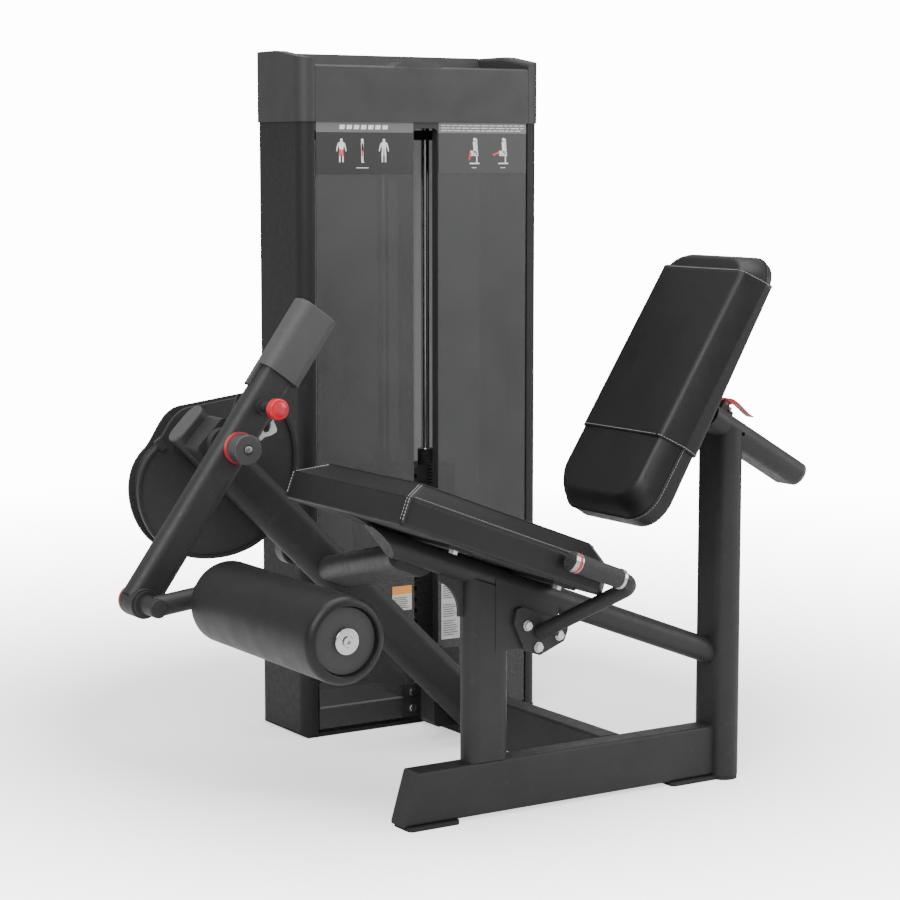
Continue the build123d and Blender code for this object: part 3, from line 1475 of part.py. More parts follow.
# ================================================================ welded and grouped nodes
def base_frame():
    """Machine rail and cross tube, welded, with the flanges that meet the tower."""
    return base_rail() + cross_tube() + tower_flanges()


def frame_posts():
    return solids(main_post(), back_post())


def seat_frame():
    """Seat tube with its gussets, cross straps and handle bracket, all welded to it."""
    body = seat_tube()
    for piece in tube_gussets().solids():
        body = body + piece
    for piece in seat_straps().solids():
        body = body + piece
    return body + handle_bracket()


def tube_end_caps():
    return solids(beam_end_cap(), receiver_cap())


def belt_guides():
    return solids(guide_bracket(), belt_box())


def static_belts():
    return solids(drive_belt(), tower_belt())


def tower_frame():
    return solids(tower_uprights(), pulley_mounts())


def tower_covers():
    return solids(side_covers(), rear_cover())


def labels():
    return solids(label_strips(), pictogram_strips(), lower_placards())


def frame_bolts():
    return solids(seat_bolts(), handle_bolts(), flange_bolts())


def handle_weldment():
    """Each handle's tube welded to its mounting plate."""
    tube = handle_tube().solids().sort_by(SortBy.VOLUME)[-1]
    near = tube + handle_plates().solids().sort_by(Axis.Y)[0]
    return solids(near, mirror_machine(near))


def grip_ends():
    return solids(grip_rings(), grip_caps())


def receiver():
    return receiver_tube() + lock_housing()


def cam_sides():
    """Cam flanges with the collars that fix them to the shaft and the belt's clamp block."""
    plates = cam_flanges().solids().sort_by(Axis.Y)
    hubs = cam_hubs().solids().sort_by(Axis.Y)
    return solids(plates[0] + hubs[0] + belt_clamp(), plates[1] + hubs[1])


def lever_weldment():
    """Lever tube with its lower boss and the pull pin's threaded sleeve."""
    return lever_arm() + lever_boss() + pin_housing()


def lever_rings():
    return solids(pivot_ring(), boss_ring())


def lever_caps():
    return solids(pivot_cap(), boss_cap())


def shaft_group():
    return solids(roller_shaft(), roller_washer(), roller_bolt())


def lifted_stack():
    return solids(lifted_plates(), top_plate())


def pin_with_knob():
    return selector_pin() + selector_knob()


def back_frame():
    """Slider with the plate behind the cushion welded to it."""
    return back_slider() + back_plate()


# ================================================================ export
nodes = {
    "base_frame": base_frame,
    "foot_pads": foot_pads,
    "frame_posts": frame_posts,
    "seat_frame": seat_frame,
    "crossbar": crossbar,
    "swing_beam": swing_beam,
    "tube_end_caps": tube_end_caps,
    "bearing_housing": bearing_housing,
    "bearing_bushes": bearing_bushes,
    "belt_guides": belt_guides,
    "static_belts": static_belts,
    "weight_plates": weight_plates,
    "guide_rods": guide_rods,
    "stack_buffers": stack_buffers,
    "tower_base": tower_base,
    "tower_frame": tower_frame,
    "tower_covers": tower_covers,
    "front_panels": front_panels,
    "channel_trim": channel_trim,
    "labels": labels,
    "top_cap": top_cap,
    "cap_ends": cap_ends,
    "frame_bolts": frame_bolts,
    "seat_board": seat_board,
    "seat_cushion": seat_cushion,
    "handle_tubes": handle_weldment,
    "handle_grips": handle_grips,
    "grip_ends": grip_ends,
    "receiver": receiver,
    "pivot_shaft": pivot_shaft,
    "cam_sides": cam_sides,
    "cam_core": cam_core,
    "cam_rim": cam_rim,
    "cam_belt": cam_belt,
    "index_plate": index_plate,
    "lever_arm": lever_weldment,
    "arm_sleeve": arm_sleeve,
    "lever_rings": lever_rings,
    "lever_caps": lever_caps,
    "pointer": pointer,
    "pull_pin": pull_pin,
    "pull_knob": pull_knob,
    "pad_link": pad_link,
    "roller_shaft": shaft_group,
    "roller_core": roller_core,
    "roller_foam": roller_foam,
    "lifted_stack": lifted_stack,
    "rod_bushes": rod_bushes,
    "selector_stem": selector_stem,
    "lanyard": lanyard,
    "lift_belt": lift_belt,
    "selector_pin": pin_with_knob,
    "top_pulley": top_pulley,
    "low_pulley": low_pulley,
    "guide_pulley": guide_pulley,
    "back_cushion": back_cushion,
    "back_sleeve": back_sleeve,
    "back_slider": back_frame,
    "release_lever": release_lever,
    "lock_pin": lock_pin,
}

os.makedirs("parts", exist_ok=True)
for name, build in nodes.items():
    export_step(build(), "parts/" + name + ".step")
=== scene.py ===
import bpy
import json
import math
import random
import numpy as np
from mathutils import Matrix, Vector
from mathutils.bvhtree import BVHTree


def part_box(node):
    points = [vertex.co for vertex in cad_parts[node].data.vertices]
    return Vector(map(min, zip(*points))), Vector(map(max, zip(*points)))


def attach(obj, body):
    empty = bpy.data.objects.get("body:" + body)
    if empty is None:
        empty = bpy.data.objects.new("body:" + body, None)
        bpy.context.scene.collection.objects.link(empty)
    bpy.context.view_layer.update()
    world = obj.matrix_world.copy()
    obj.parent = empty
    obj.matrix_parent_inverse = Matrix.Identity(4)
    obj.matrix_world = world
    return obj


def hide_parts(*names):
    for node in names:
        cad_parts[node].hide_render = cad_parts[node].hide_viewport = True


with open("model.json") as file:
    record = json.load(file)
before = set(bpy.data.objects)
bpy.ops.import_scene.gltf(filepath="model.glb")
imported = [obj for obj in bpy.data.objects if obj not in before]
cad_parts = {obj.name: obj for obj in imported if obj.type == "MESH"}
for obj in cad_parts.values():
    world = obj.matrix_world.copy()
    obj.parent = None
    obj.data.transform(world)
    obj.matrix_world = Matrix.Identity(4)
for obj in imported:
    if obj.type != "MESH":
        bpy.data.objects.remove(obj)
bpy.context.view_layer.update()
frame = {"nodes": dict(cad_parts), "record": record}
record = frame["record"]
nodes = frame["nodes"]
rng = random.Random(7)


grip_bend = (-0.127, 0.0, 0.462)
grip_length = 0.156


def deg(angle):
    return math.radians(angle)


def down(angle):
    return Vector((math.cos(deg(angle)), 0, -math.sin(deg(angle))))


def up(angle):
    return Vector((math.sin(deg(angle)), 0, math.cos(deg(angle))))


# ---------------------------------------------------------------- material helpers
class Graph:
    """Small wrapper that adds and links shader nodes."""

    def __init__(self, name):
        self.mat = bpy.data.materials.new(name)
        self.mat.use_nodes = True
        self.tree = self.mat.node_tree
        self.bsdf = self.tree.nodes["Principled BSDF"]
        self.out = self.tree.nodes["Material Output"]
        self.coord = self.add("ShaderNodeTexCoord").outputs["Object"]

    def add(self, kind, **props):
        node = self.tree.nodes.new(kind)
        for key, value in props.items():
            setattr(node, key, value)
        return node

    def link(self, a, b):
        self.tree.links.new(a, b)

    def set(self, **values):
        for key, value in values.items():
            self.bsdf.inputs[key.replace("_", " ")].default_value = value

    def noise(self, scale, detail=4.0, stretch=None, rough=0.55):
        node = self.add("ShaderNodeTexNoise")
        node.inputs["Scale"].default_value = scale
        node.inputs["Detail"].default_value = detail
        node.inputs["Roughness"].default_value = rough
        source = self.coord
        if stretch:
            mapping = self.add("ShaderNodeMapping")
            mapping.inputs["Scale"].default_value = stretch
            self.link(source, mapping.inputs["Vector"])
            source = mapping.outputs["Vector"]
        self.link(source, node.inputs["Vector"])
        return node.outputs["Fac"]

    def ramp(self, source, low, high, a, b):
        node = self.add("ShaderNodeMapRange")
        node.inputs["From Min"].default_value = low
        node.inputs["From Max"].default_value = high
        node.inputs["To Min"].default_value = a
        node.inputs["To Max"].default_value = b
        self.link(source, node.inputs["Value"])
        return node.outputs["Result"]

    def math(self, op, a, b=None):
        node = self.add("ShaderNodeMath", operation=op)
        for slot, value in ((0, a), (1, b)):
            if value is None:
                continue
            if isinstance(value, (int, float)):
                node.inputs[slot].default_value = value
            else:
                self.link(value, node.inputs[slot])
        return node.outputs[0]

    def mix(self, fac, a, b):
        node = self.add("ShaderNodeMix", data_type="RGBA")
        for slot, value in (("Factor", fac), ("A", a), ("B", b)):
            target = [s for s in node.inputs if s.name == slot and s.enabled][0]
            if isinstance(value, (int, float)):
                target.default_value = value
            elif isinstance(value, tuple):
                target.default_value = (value[0], value[1], value[2], 1)
            else:
                self.link(value, target)
        return [s for s in node.outputs if s.enabled][0]

    def bump(self, height, strength, distance):
        node = self.add("ShaderNodeBump")
        node.inputs["Strength"].default_value = strength
        node.inputs["Distance"].default_value = distance
        self.link(height, node.inputs["Height"])
        self.link(node.outputs["Normal"], self.bsdf.inputs["Normal"])

    def axis(self, name):
        split = self.add("ShaderNodeSeparateXYZ")
        self.link(self.coord, split.inputs["Vector"])
        return split.outputs[name]


def powder(name, color, rough=0.5, grain=1300.0):
    """Textured powder coat: fine orange peel, faint blotches and dust specks."""
    g = Graph(name)
    blotch = g.noise(9.0, 3)
    dust = g.noise(70.0, 5)
    light = tuple(c * 1.1 + 0.001 for c in color)
    dark = tuple(c * 0.92 for c in color)
    base = g.mix(g.ramp(blotch, 0.3, 0.7, 0.0, 1.0), dark, light)
    pale = tuple(c * 1.5 + 0.006 for c in color)
    g.link(g.mix(g.ramp(dust, 0.6, 0.75, 0.0, 0.5), base, pale), g.bsdf.inputs["Base Color"])
    g.link(g.ramp(dust, 0.3, 0.7, rough - 0.06, rough + 0.08), g.bsdf.inputs["Roughness"])
    g.set(Specular_IOR_Level=0.3)
    g.bump(g.math("ADD", g.noise(grain, 2), g.math("MULTIPLY", g.noise(grain * 0.35, 2), 0.6)), 0.3, 0.0003)
    return g.mat


def plastic(name, color, rough=0.45, grain=1800.0, coat=0.0):
    """Moulded plastic with a fine spark-eroded grain."""
    g = Graph(name)
    smudge = g.noise(16.0, 5)
    dark = tuple(c * 0.9 for c in color)
    g.link(g.mix(g.ramp(smudge, 0.35, 0.65, 0, 1), color, dark), g.bsdf.inputs["Base Color"])
    g.link(g.ramp(smudge, 0.3, 0.7, rough - 0.05, rough + 0.07), g.bsdf.inputs["Roughness"])
    g.set(Coat_Weight=coat, Coat_Roughness=0.15)
    g.bump(g.noise(grain, 2), 0.2, 0.0002)
    return g.mat


def rubber(name, color, rough=0.72):
    g = Graph(name)
    dust = g.noise(60.0, 6)
    pale = tuple(c * 1.1 + 0.001 for c in color)
    g.link(g.mix(g.ramp(dust, 0.5, 0.75, 0, 1), color, pale), g.bsdf.inputs["Base Color"])
    g.link(g.ramp(dust, 0.3, 0.7, rough - 0.08, rough + 0.06), g.bsdf.inputs["Roughness"])
    g.set(Specular_IOR_Level=0.35)
    g.bump(g.noise(1500.0, 3), 0.3, 0.0002)
    return g.mat


def metal(name, color, rough, stretch=None):
    """Bare metal; stretch draws the brushing or turning lines along one axis."""
    g = Graph(name)
    smudge = g.noise(35.0, 6)
    lines = g.noise(900.0, 2, stretch)
    dark = tuple(c * 0.8 for c in color)
    g.link(g.mix(g.ramp(smudge, 0.4, 0.7, 0, 1), color, dark), g.bsdf.inputs["Base Color"])
    worn = g.ramp(smudge, 0.3, 0.7, rough * 0.8, rough * 1.4)
    turned = g.ramp(lines, 0.3, 0.7, 0.0, rough * 0.35)
    spread = g.math("ADD", worn, turned)
    g.link(spread, g.bsdf.inputs["Roughness"])
    g.set(Metallic=1.0)
    g.bump(lines, 0.12, 0.0001)
    return g.mat


def leather(name, color):
    """Upholstery vinyl: pebbled cells, creases and a soft sheen."""
    g = Graph(name)
    cells = g.add("ShaderNodeTexVoronoi", feature="F1")
    cells.inputs["Scale"].default_value = 620.0
    warp = g.noise(140.0, 3)
    shift = g.add("ShaderNodeVectorMath", operation="ADD")
    scaled = g.add("ShaderNodeVectorMath", operation="SCALE")
    scaled.inputs["Scale"].default_value = 0.0016
    g.link(warp, scaled.inputs[0])
    g.link(g.coord, shift.inputs[0])
    g.link(scaled.outputs[0], shift.inputs[1])
    g.link(shift.outputs[0], cells.inputs["Vector"])
    crease = g.noise(24.0, 6, rough=0.6)
    wear = g.noise(7.0, 4)
    dark = tuple(c * 0.85 for c in color)
    pale = tuple(c * 1.2 for c in color)
    g.link(g.mix(g.ramp(wear, 0.35, 0.65, 0, 1), dark, pale), g.bsdf.inputs["Base Color"])
    g.link(g.ramp(crease, 0.3, 0.7, 0.36, 0.46), g.bsdf.inputs["Roughness"])
    g.set(Specular_IOR_Level=0.38, Sheen_Weight=0.02, Sheen_Roughness=0.4)
    height = g.math("ADD", cells.outputs["Distance"], g.math("MULTIPLY", crease, 1.4))
    g.bump(height, 0.35, 0.0006)
    return g.mat


def thread_material():
    g = Graph("white_thread")
    twist = g.ramp(g.noise(900.0, 3), 0.3, 0.7, 0, 1)
    g.link(g.mix(twist, (0.34, 0.34, 0.33), (0.48, 0.48, 0.47)), g.bsdf.inputs["Base Color"])
    g.set(Roughness=0.7, Sheen_Weight=0.3)
    g.bump(g.noise(2600.0, 2), 0.4, 0.0003)
    return g.mat


def smoked_panel():
    """Smoked sheet that lets the rods behind it show faintly."""
    g = Graph("smoked_panel")
    scuff = g.noise(12.0, 6)
    haze = g.ramp(scuff, 0.35, 0.7, 0, 1)
    g.link(g.mix(haze, (0.060, 0.060, 0.060), (0.070, 0.070, 0.070)), g.bsdf.inputs["Base Color"])
    g.link(g.ramp(scuff, 0.3, 0.7, 0.3, 0.42), g.bsdf.inputs["Roughness"])
    g.bump(g.noise(300.0, 2), 0.05, 0.0002)
    clear = g.add("ShaderNodeBsdfTransparent")
    clear.inputs["Color"].default_value = (0.62, 0.63, 0.64, 1)
    blend = g.add("ShaderNodeMixShader")
    blend.inputs["Fac"].default_value = 0.62
    g.link(clear.outputs[0], blend.inputs[1])
    g.link(g.bsdf.outputs[0], blend.inputs[2])
    g.link(blend.outputs[0], g.out.inputs["Surface"])
    return g.mat


def cover_material(color):
    """Powder coat outside; the rear cover's inner face gets painted light, a pale colour and a faint glow, so
    the enclosed channel reads light.
    """
    mat = powder("tower_cover", color, 0.5)
    g = Graph.__new__(Graph)
    g.mat = mat
    g.tree = mat.node_tree
    g.bsdf = g.tree.nodes["Principled BSDF"]
    g.coord = [n for n in g.tree.nodes if n.type == "TEX_COORD"][0].outputs["Object"]
    geo = g.add("ShaderNodeNewGeometry")
    split = g.add("ShaderNodeSeparateXYZ")
    g.link(geo.outputs["True Normal"], split.inputs["Vector"])
    inward = g.math("LESS_THAN", split.outputs["Y"], -0.7)
    behind = g.math("GREATER_THAN", g.axis("Y"), 0.09)
    old = g.bsdf.inputs["Base Color"].links[0].from_socket
    # Painted light: the rear cover's inner face gets a pale colour and a faint emission glow in place of the
    # light inside the enclosed channel.
    painted_light_lining = g.math("MULTIPLY", inward, behind)
    g.link(g.mix(painted_light_lining, old, (0.62, 0.62, 0.62)), g.bsdf.inputs["Base Color"])
    # Faint glow on the inner face: painted light, not a lamp.
    g.set(Emission_Color=(1, 1, 1, 1))
    g.link(g.math("MULTIPLY", painted_light_lining, 0.11), g.bsdf.inputs["Emission Strength"])
    return mat


def label_material():
    """Printed strips: pale at the top, dark below it, and the two lower placards."""
    g = Graph("label_print")
    z = g.axis("Z")
    x = g.axis("X")
    fibre = g.ramp(g.noise(500.0, 3), 0.3, 0.7, 0.94, 1.06)
    pale = g.math("GREATER_THAN", z, 1.2899)
    low = g.math("LESS_THAN", z, 0.5)
    color = g.mix(pale, (0.013, 0.013, 0.013), (0.12, 0.12, 0.12))
    right = g.math("GREATER_THAN", x, 0.0)
    placard = g.mix(right, (0.55, 0.54, 0.5), (0.45, 0.45, 0.45))
    head_left = g.math("MULTIPLY", g.math("GREATER_THAN", z, 0.292), g.math("LESS_THAN", x, 0.0))
    placard = g.mix(head_left, placard, (0.75, 0.28, 0.04))
    color = g.mix(low, color, placard)
    shade = g.add("ShaderNodeVectorMath", operation="SCALE")
    g.link(color, shade.inputs[0])
    g.link(fibre, shade.inputs["Scale"])
    g.link(shade.outputs[0], g.bsdf.inputs["Base Color"])
    g.set(Roughness=0.4, Coat_Weight=0.2)
    g.bump(g.noise(900.0, 2), 0.05, 0.0001)
    return g.mat


def ribbed(name, color, axis, pitch):
    """Rubber with ribs across one axis."""
    g = Graph(name)
    wave = g.add("ShaderNodeTexWave", wave_type="BANDS", bands_direction=axis)
    wave.inputs["Scale"].default_value = 2 * math.pi / pitch / 20.0
    wave.inputs["Distortion"].default_value = 0.0
    g.link(g.coord, wave.inputs["Vector"])
    dust = g.ramp(g.noise(60.0, 4), 0.4, 0.7, 0, 1)
    g.link(g.mix(dust, color, tuple(c * 1.4 for c in color)), g.bsdf.inputs["Base Color"])
    g.set(Roughness=0.7)
    g.bump(wave.outputs["Fac"], 0.5, 0.0006)
    return g.mat


def grip_end_material():
    """Grip ends seen along the handle: chrome rear ring, red front ring, grey metal cap."""
    g = Graph("grip_end")
    away = g.add("ShaderNodeVectorMath", operation="DOT_PRODUCT")
    g.link(g.coord, away.inputs[0])
    direction = down(21.4) * -1
    away.inputs[1].default_value = tuple(direction)
    start = Vector(grip_bend).dot(direction)
    t = g.math("DIVIDE", g.math("SUBTRACT", away.outputs["Value"], start), grip_length)
    red = g.math("MULTIPLY", g.math("GREATER_THAN", t, 0.8), g.math("LESS_THAN", t, 0.94))
    smudge = g.ramp(g.noise(60.0, 5), 0.3, 0.7, 0.85, 1.1)
    color = g.mix(red, (0.42, 0.42, 0.43), (0.55, 0.02, 0.03))
    shade = g.add("ShaderNodeVectorMath", operation="SCALE")
    g.link(color, shade.inputs[0])
    g.link(smudge, shade.inputs["Scale"])
    g.link(shade.outputs[0], g.bsdf.inputs["Base Color"])
    g.link(g.math("SUBTRACT", 1.0, red), g.bsdf.inputs["Metallic"])
    g.link(g.ramp(g.noise(300.0, 3), 0.3, 0.7, 0.2, 0.34), g.bsdf.inputs["Roughness"])
    g.bump(g.noise(700.0, 2), 0.08, 0.0001)
    return g.mat


charcoal = (0.025, 0.025, 0.0253)
deep = (0.010, 0.010, 0.0102)
mats = {
    "frame": powder("frame_powder_coat", charcoal, 0.46),
    "tower": powder("tower_powder_coat", deep, 0.5),
    "cover": cover_material(deep),
    "panel": smoked_panel(),
    "cap": plastic("cap_plastic", (0.026, 0.026, 0.0263), 0.5),
    "label": label_material(),
    "trim": powder("trim_coat", (0.03, 0.03, 0.032), 0.42),
    "leather": leather("black_vinyl", (0.0045, 0.0045, 0.0046)),
    "roller": leather("roller_skin", (0.0032, 0.0032, 0.0033)),
    "board": plastic("base_board", (0.02, 0.02, 0.02), 0.65),
    "chrome": metal("chrome", (0.60, 0.60, 0.61), 0.16),
    "steel": metal("turned_steel", (0.5, 0.5, 0.51), 0.28, (1, 12, 1)),
    "iron": powder("plate_paint", (0.02, 0.02, 0.021), 0.42, 700.0),
    "belt": ribbed("belt_rubber", (0.02, 0.02, 0.02), "X", 0.003),
    "rubber": rubber("black_rubber", (0.02, 0.02, 0.02)),
    "grey": rubber("pale_rubber", (0.066, 0.066, 0.067), 0.6),
    "red": plastic("red_plastic", (0.60, 0.004, 0.012), 0.34, coat=0.12),
    "redmetal": plastic("red_anodised", (0.55, 0.02, 0.03), 0.28, coat=0.5),
    "bush": metal("bush_bronze", (0.52, 0.36, 0.16), 0.3, (1, 12, 1)),
    "nylon": plastic("pulley_nylon", (0.05, 0.05, 0.052), 0.4),
    "cam": powder("cam_paint", (0.029, 0.029, 0.0293), 0.42),
    "capgrey": plastic("cap_grey", (0.045, 0.045, 0.046), 0.4, coat=0.1),
    "grip": ribbed("grip_rubber", (0.022, 0.022, 0.022), "X", 0.0035),
    "thread": thread_material(),
    "gripend": grip_end_material(),
    "white": plastic("print_white", (0.75, 0.75, 0.74), 0.45, 900.0),
    "printred": plastic("print_red", (0.65, 0.05, 0.05), 0.45, 900.0),
    "ink": plastic("print_ink", (0.04, 0.04, 0.04), 0.5, 900.0),
}
dress = {
    "frame": "base_frame frame_posts seat_frame crossbar swing_beam bearing_housing belt_guides "
             "handle_tubes receiver index_plate lever_arm pad_link back_slider",
    "tower": "tower_base tower_frame",
    "cover": "tower_covers",
    "panel": "front_panels",
    "cap": "top_cap cap_ends roller_core",
    "label": "labels",
    "trim": "channel_trim",
    "leather": "seat_cushion back_cushion back_sleeve",
    "roller": "roller_foam",
    "board": "seat_board",
    "chrome": "guide_rods frame_bolts roller_shaft",
    "steel": "pivot_shaft pull_pin selector_stem lock_pin",
    "white": "pointer",
    "iron": "weight_plates lifted_stack",
    "belt": "static_belts cam_belt lift_belt",
    "rubber": "foot_pads stack_buffers rod_bushes lanyard cam_rim",
    "grey": "tube_end_caps arm_sleeve",
    "red": "pull_knob release_lever selector_pin",
    "redmetal": "lever_rings",
    "gripend": "grip_ends",
    "bush": "bearing_bushes",
    "nylon": "top_pulley low_pulley guide_pulley",
    "cam": "cam_sides cam_core",
    "capgrey": "lever_caps",
    "grip": "handle_grips",
}
for key, names in dress.items():
    for name in names.split():
        mesh = nodes[name].data
        mesh.materials.clear()
        mesh.materials.append(mats[key])
        mesh.polygons.foreach_set("material_index", [0] * len(mesh.polygons))


# ---------------------------------------------------------------- mesh helpers
def new_piece(name, verts, faces, material, body, smooth=True):
    mesh = bpy.data.meshes.new(name)
    mesh.from_pydata([tuple(v) for v in verts], [], faces)
    mesh.update()
    mesh.materials.append(mats[material])
    mesh.polygons.foreach_set("use_smooth", [smooth] * len(mesh.polygons))
    obj = bpy.data.objects.new(name, mesh)
    bpy.context.scene.collection.objects.link(obj)
    if body:
        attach(obj, body)
    return obj


class Local:
    """Frame given by an origin and two axes; to(u, v, w) gives a world point."""

    def __init__(self, origin, x_axis, z_axis):
        self.o = Vector(origin)
        self.x = Vector(x_axis).normalized()
        self.z = Vector(z_axis).normalized()
        self.y = self.z.cross(self.x)

    def to(self, u, v, w=0.0):
        return self.o + self.x * u + self.y * v + self.z * w


def rounded_outline(corners, radius, step_counts, arc_count):
    """Closed outline with rounded corners; the same counts give the same topology."""
    points = []
    count = len(corners)
    for i in range(count):
        a = Vector(corners[i - 1])
        b = Vector(corners[i])
        c = Vector(corners[(i + 1) % count])
        into = (b - a).normalized()
        out = (c - b).normalized()
        angle = into.angle(out)
        r = radius[i] if isinstance(radius, (list, tuple)) else radius
        cut = r * math.tan(angle / 2)
        start = b - into * cut
        end = b + out * cut
        side = Vector((-into.y, into.x))
        if into.x * out.y - into.y * out.x < 0:
            side = -side
        center = start + side * r
        for k in range(arc_count + 1):
            t = k / arc_count
            base = start - center
            turn = angle * t * (1 if into.x * out.y - into.y * out.x > 0 else -1)
            spot = center + Matrix.Rotation(turn, 2) @ base
            points.append((spot.x, spot.y))
        nxt = Vector(corners[(i + 1) % count])
        after = Vector(corners[(i + 2) % count])
        r2 = radius[(i + 1) % count] if isinstance(radius, (list, tuple)) else radius
        cut2 = r2 * math.tan(out.angle((after - nxt).normalized()) / 2)
        stop = nxt - out * cut2
        for k in range(1, step_counts[i]):
            t = k / step_counts[i]
            spot = end.lerp(stop, t)
            points.append((spot.x, spot.y))
    return points


def ring_mesh(rings):
    """Quads between rings of equal length, closed at both ends with a fan."""
    verts = []
    for ring in rings:
        verts.extend(ring)
    n = len(rings[0])
    faces = []
    for r in range(len(rings) - 1):
        for k in range(n):
            a = r * n + k
            b = r * n + (k + 1) % n
            faces.append((a, b, b + n, a + n))
    for r, flip in ((0, True), (len(rings) - 1, False)):
        center = sum((Vector(v) for v in rings[r]), Vector()) / n
        verts.append(tuple(center))
        c = len(verts) - 1
        for k in range(n):
            a = r * n + k
            b = r * n + (k + 1) % n
            faces.append((b, a, c) if flip else (a, b, c))
    return verts, faces


def inflate(name, verts, faces, pin, pressure, cap, material, body, frames=20):
    """Runs a short pressure cloth simulation on a closed form and keeps its last shape."""
    mesh = bpy.data.meshes.new(name)
    mesh.from_pydata([tuple(v) for v in verts], [], faces)
    mesh.update()
    obj = bpy.data.objects.new(name, mesh)
    bpy.context.scene.collection.objects.link(obj)
    rest = np.array([tuple(v) for v in verts], float)
    group = obj.vertex_groups.new(name="pin")
    for i, weight in enumerate(pin):
        if weight > 0:
            group.add([i], weight, "REPLACE")
    cloth = obj.modifiers.new("cloth", "CLOTH")
    s = cloth.settings
    s.quality = 6
    s.mass = 0.35
    s.tension_stiffness = 40
    s.compression_stiffness = 40
    s.shear_stiffness = 25
    s.bending_stiffness = 8
    s.vertex_group_mass = "pin"
    s.use_pressure = True
    s.uniform_pressure_force = pressure
    s.effector_weights.gravity = 0
    cloth.collision_settings.use_collision = False
    cloth.point_cache.frame_start = 1
    cloth.point_cache.frame_end = frames
    scene = bpy.context.scene
    for f in range(1, frames + 1):
        scene.frame_set(f)
    solved = obj.evaluated_get(bpy.context.evaluated_depsgraph_get())
    data = solved.to_mesh()
    moved = np.array([v.co for v in data.vertices], float)
    solved.to_mesh_clear()
    delta = moved - rest
    length = np.linalg.norm(delta, axis=1, keepdims=True)
    delta *= np.minimum(1.0, cap / np.maximum(length, 1e-9))
    print("inflate", name, "largest move mm", round(float(length.max()) * 1000, 1))
    rest = rest + delta
    scene.frame_set(1)
    bpy.data.objects.remove(obj)
    return new_piece(name, rest, faces, material, body)


def surface(obj):
    """Search tree over a piece's faces."""
    mesh = obj.data
    points = [v.co.copy() for v in mesh.vertices]
    return BVHTree.FromPolygons(points, [tuple(f.vertices) for f in mesh.polygons])


def resample(points, spacing):
    """Evenly spaced points along a polyline."""
    pts = [Vector(p) for p in points]
    out = [pts[0].copy()]
    left = spacing
    for a, b in zip(pts[:-1], pts[1:]):
        seg = (b - a).length
        pos = 0.0
        while seg - pos >= left:
            pos += left
            out.append(a.lerp(b, pos / seg))
            left = spacing
        left -= seg - pos
    return out


def stitches(name, lines, tree, body, spacing=0.0052, length=0.0044, radius=0.0005, lift=0.0002):
    """Rows of short thread loops laid on a surface."""
    verts = []
    faces = []
    sides = 6
    profile = ((-0.5, 0.35), (-0.38, 0.9), (0.0, 1.0), (0.38, 0.9), (0.5, 0.35))
    for line in lines:
        dense = []
        for p in resample(line, 0.002):
            hit, normal, index, dist = tree.find_nearest(p)
            if hit is not None:
                dense.append((hit, normal))
        if len(dense) < 3:
            continue
        walk = 0.0
        for i in range(1, len(dense) - 1):
            walk += (dense[i][0] - dense[i - 1][0]).length
            if walk < spacing:
                continue
            walk = 0.0
            spot, normal = dense[i]
            along = (dense[i + 1][0] - dense[i - 1][0])
            if along.length < 1e-7:
                continue
            along.normalize()
            normal = (normal - along * normal.dot(along)).normalized()
            across = normal.cross(along)
            center = spot + normal * lift
            first = len(verts)
            for t, r in profile:
                for k in range(sides):
                    ang = 2 * math.pi * k / sides
                    verts.append(center + along * (t * length) + normal * (math.cos(ang) * radius * r)
                                 + across * (math.sin(ang) * radius * r))
            for ring in range(len(profile) - 1):
                for k in range(sides):
                    a = first + ring * sides + k
                    b = first + ring * sides + (k + 1) % sides
                    faces.append((a, b, b + sides, a + sides))
            faces.append(tuple(first + k for k in reversed(range(sides))))
            last = first + (len(profile) - 1) * sides
            faces.append(tuple(last + k for k in range(sides)))
    return new_piece(name, verts, faces, "thread", body)


def groove_tube(name, line, radius, material, body, tree=None, lift=0.0):
    """Continuous cord along a line, such as piping."""
    pts = resample(line, 0.006)
    if tree:
        laid = []
        for p in pts:
            hit, normal, index, dist = tree.find_nearest(p)
            laid.append(hit + normal * lift)
        pts = laid
    verts = []
    faces = []
    sides = 8
    for i, p in enumerate(pts):
        a = pts[max(0, i - 1)]
        b = pts[min(len(pts) - 1, i + 1)]
        along = (b - a).normalized()
        ref = Vector((0, 0, 1)) if abs(along.z) < 0.9 else Vector((1, 0, 0))
        u = along.cross(ref).normalized()
        v = along.cross(u)
        for k in range(sides):
            ang = 2 * math.pi * k / sides
            verts.append(p + u * (radius * math.cos(ang)) + v * (radius * math.sin(ang)))
    for i in range(len(pts) - 1):
        for k in range(sides):
            a = i * sides + k
            b = i * sides + (k + 1) % sides
            faces.append((a, b, b + sides, a + sides))
    faces.append(tuple(range(sides)))
    faces.append(tuple((len(pts) - 1) * sides + k for k in reversed(range(sides))))
    return new_piece(name, verts, faces, material, body)


# ---------------------------------------------------------------- seat cushion
mid_y = -0.802
seat = Local((-0.611, mid_y, 0.606), down(20.8), up(20.8))
seat_len, seat_half, side_h, bevel_h, bevel_in, rear_cut = 0.495, 0.212, 0.053, 0.031, 0.046, 0.050


def seat_corners(inset):
    h = seat_half - inset
    x0 = inset
    x1 = seat_len - inset * 0.35
    return [(x0, -h), (x1 - rear_cut, -h), (x1, -h + rear_cut),
            (x1, h - rear_cut), (x1 - rear_cut, h), (x0, h)]


def seat_ring(inset, z, radius=0.009, shrink=1.0):
    counts = [42, 10, 26, 10, 42, 40]
    flat = rounded_outline(seat_corners(inset), radius, counts, 5)
    if shrink != 1.0:
        cx, cy = seat_len / 2, 0.0
        flat = [(cx + (x - cx) * shrink, cy + (y - cy) * shrink) for x, y in flat]
    return [seat.to(x, y, z) for x, y in flat]


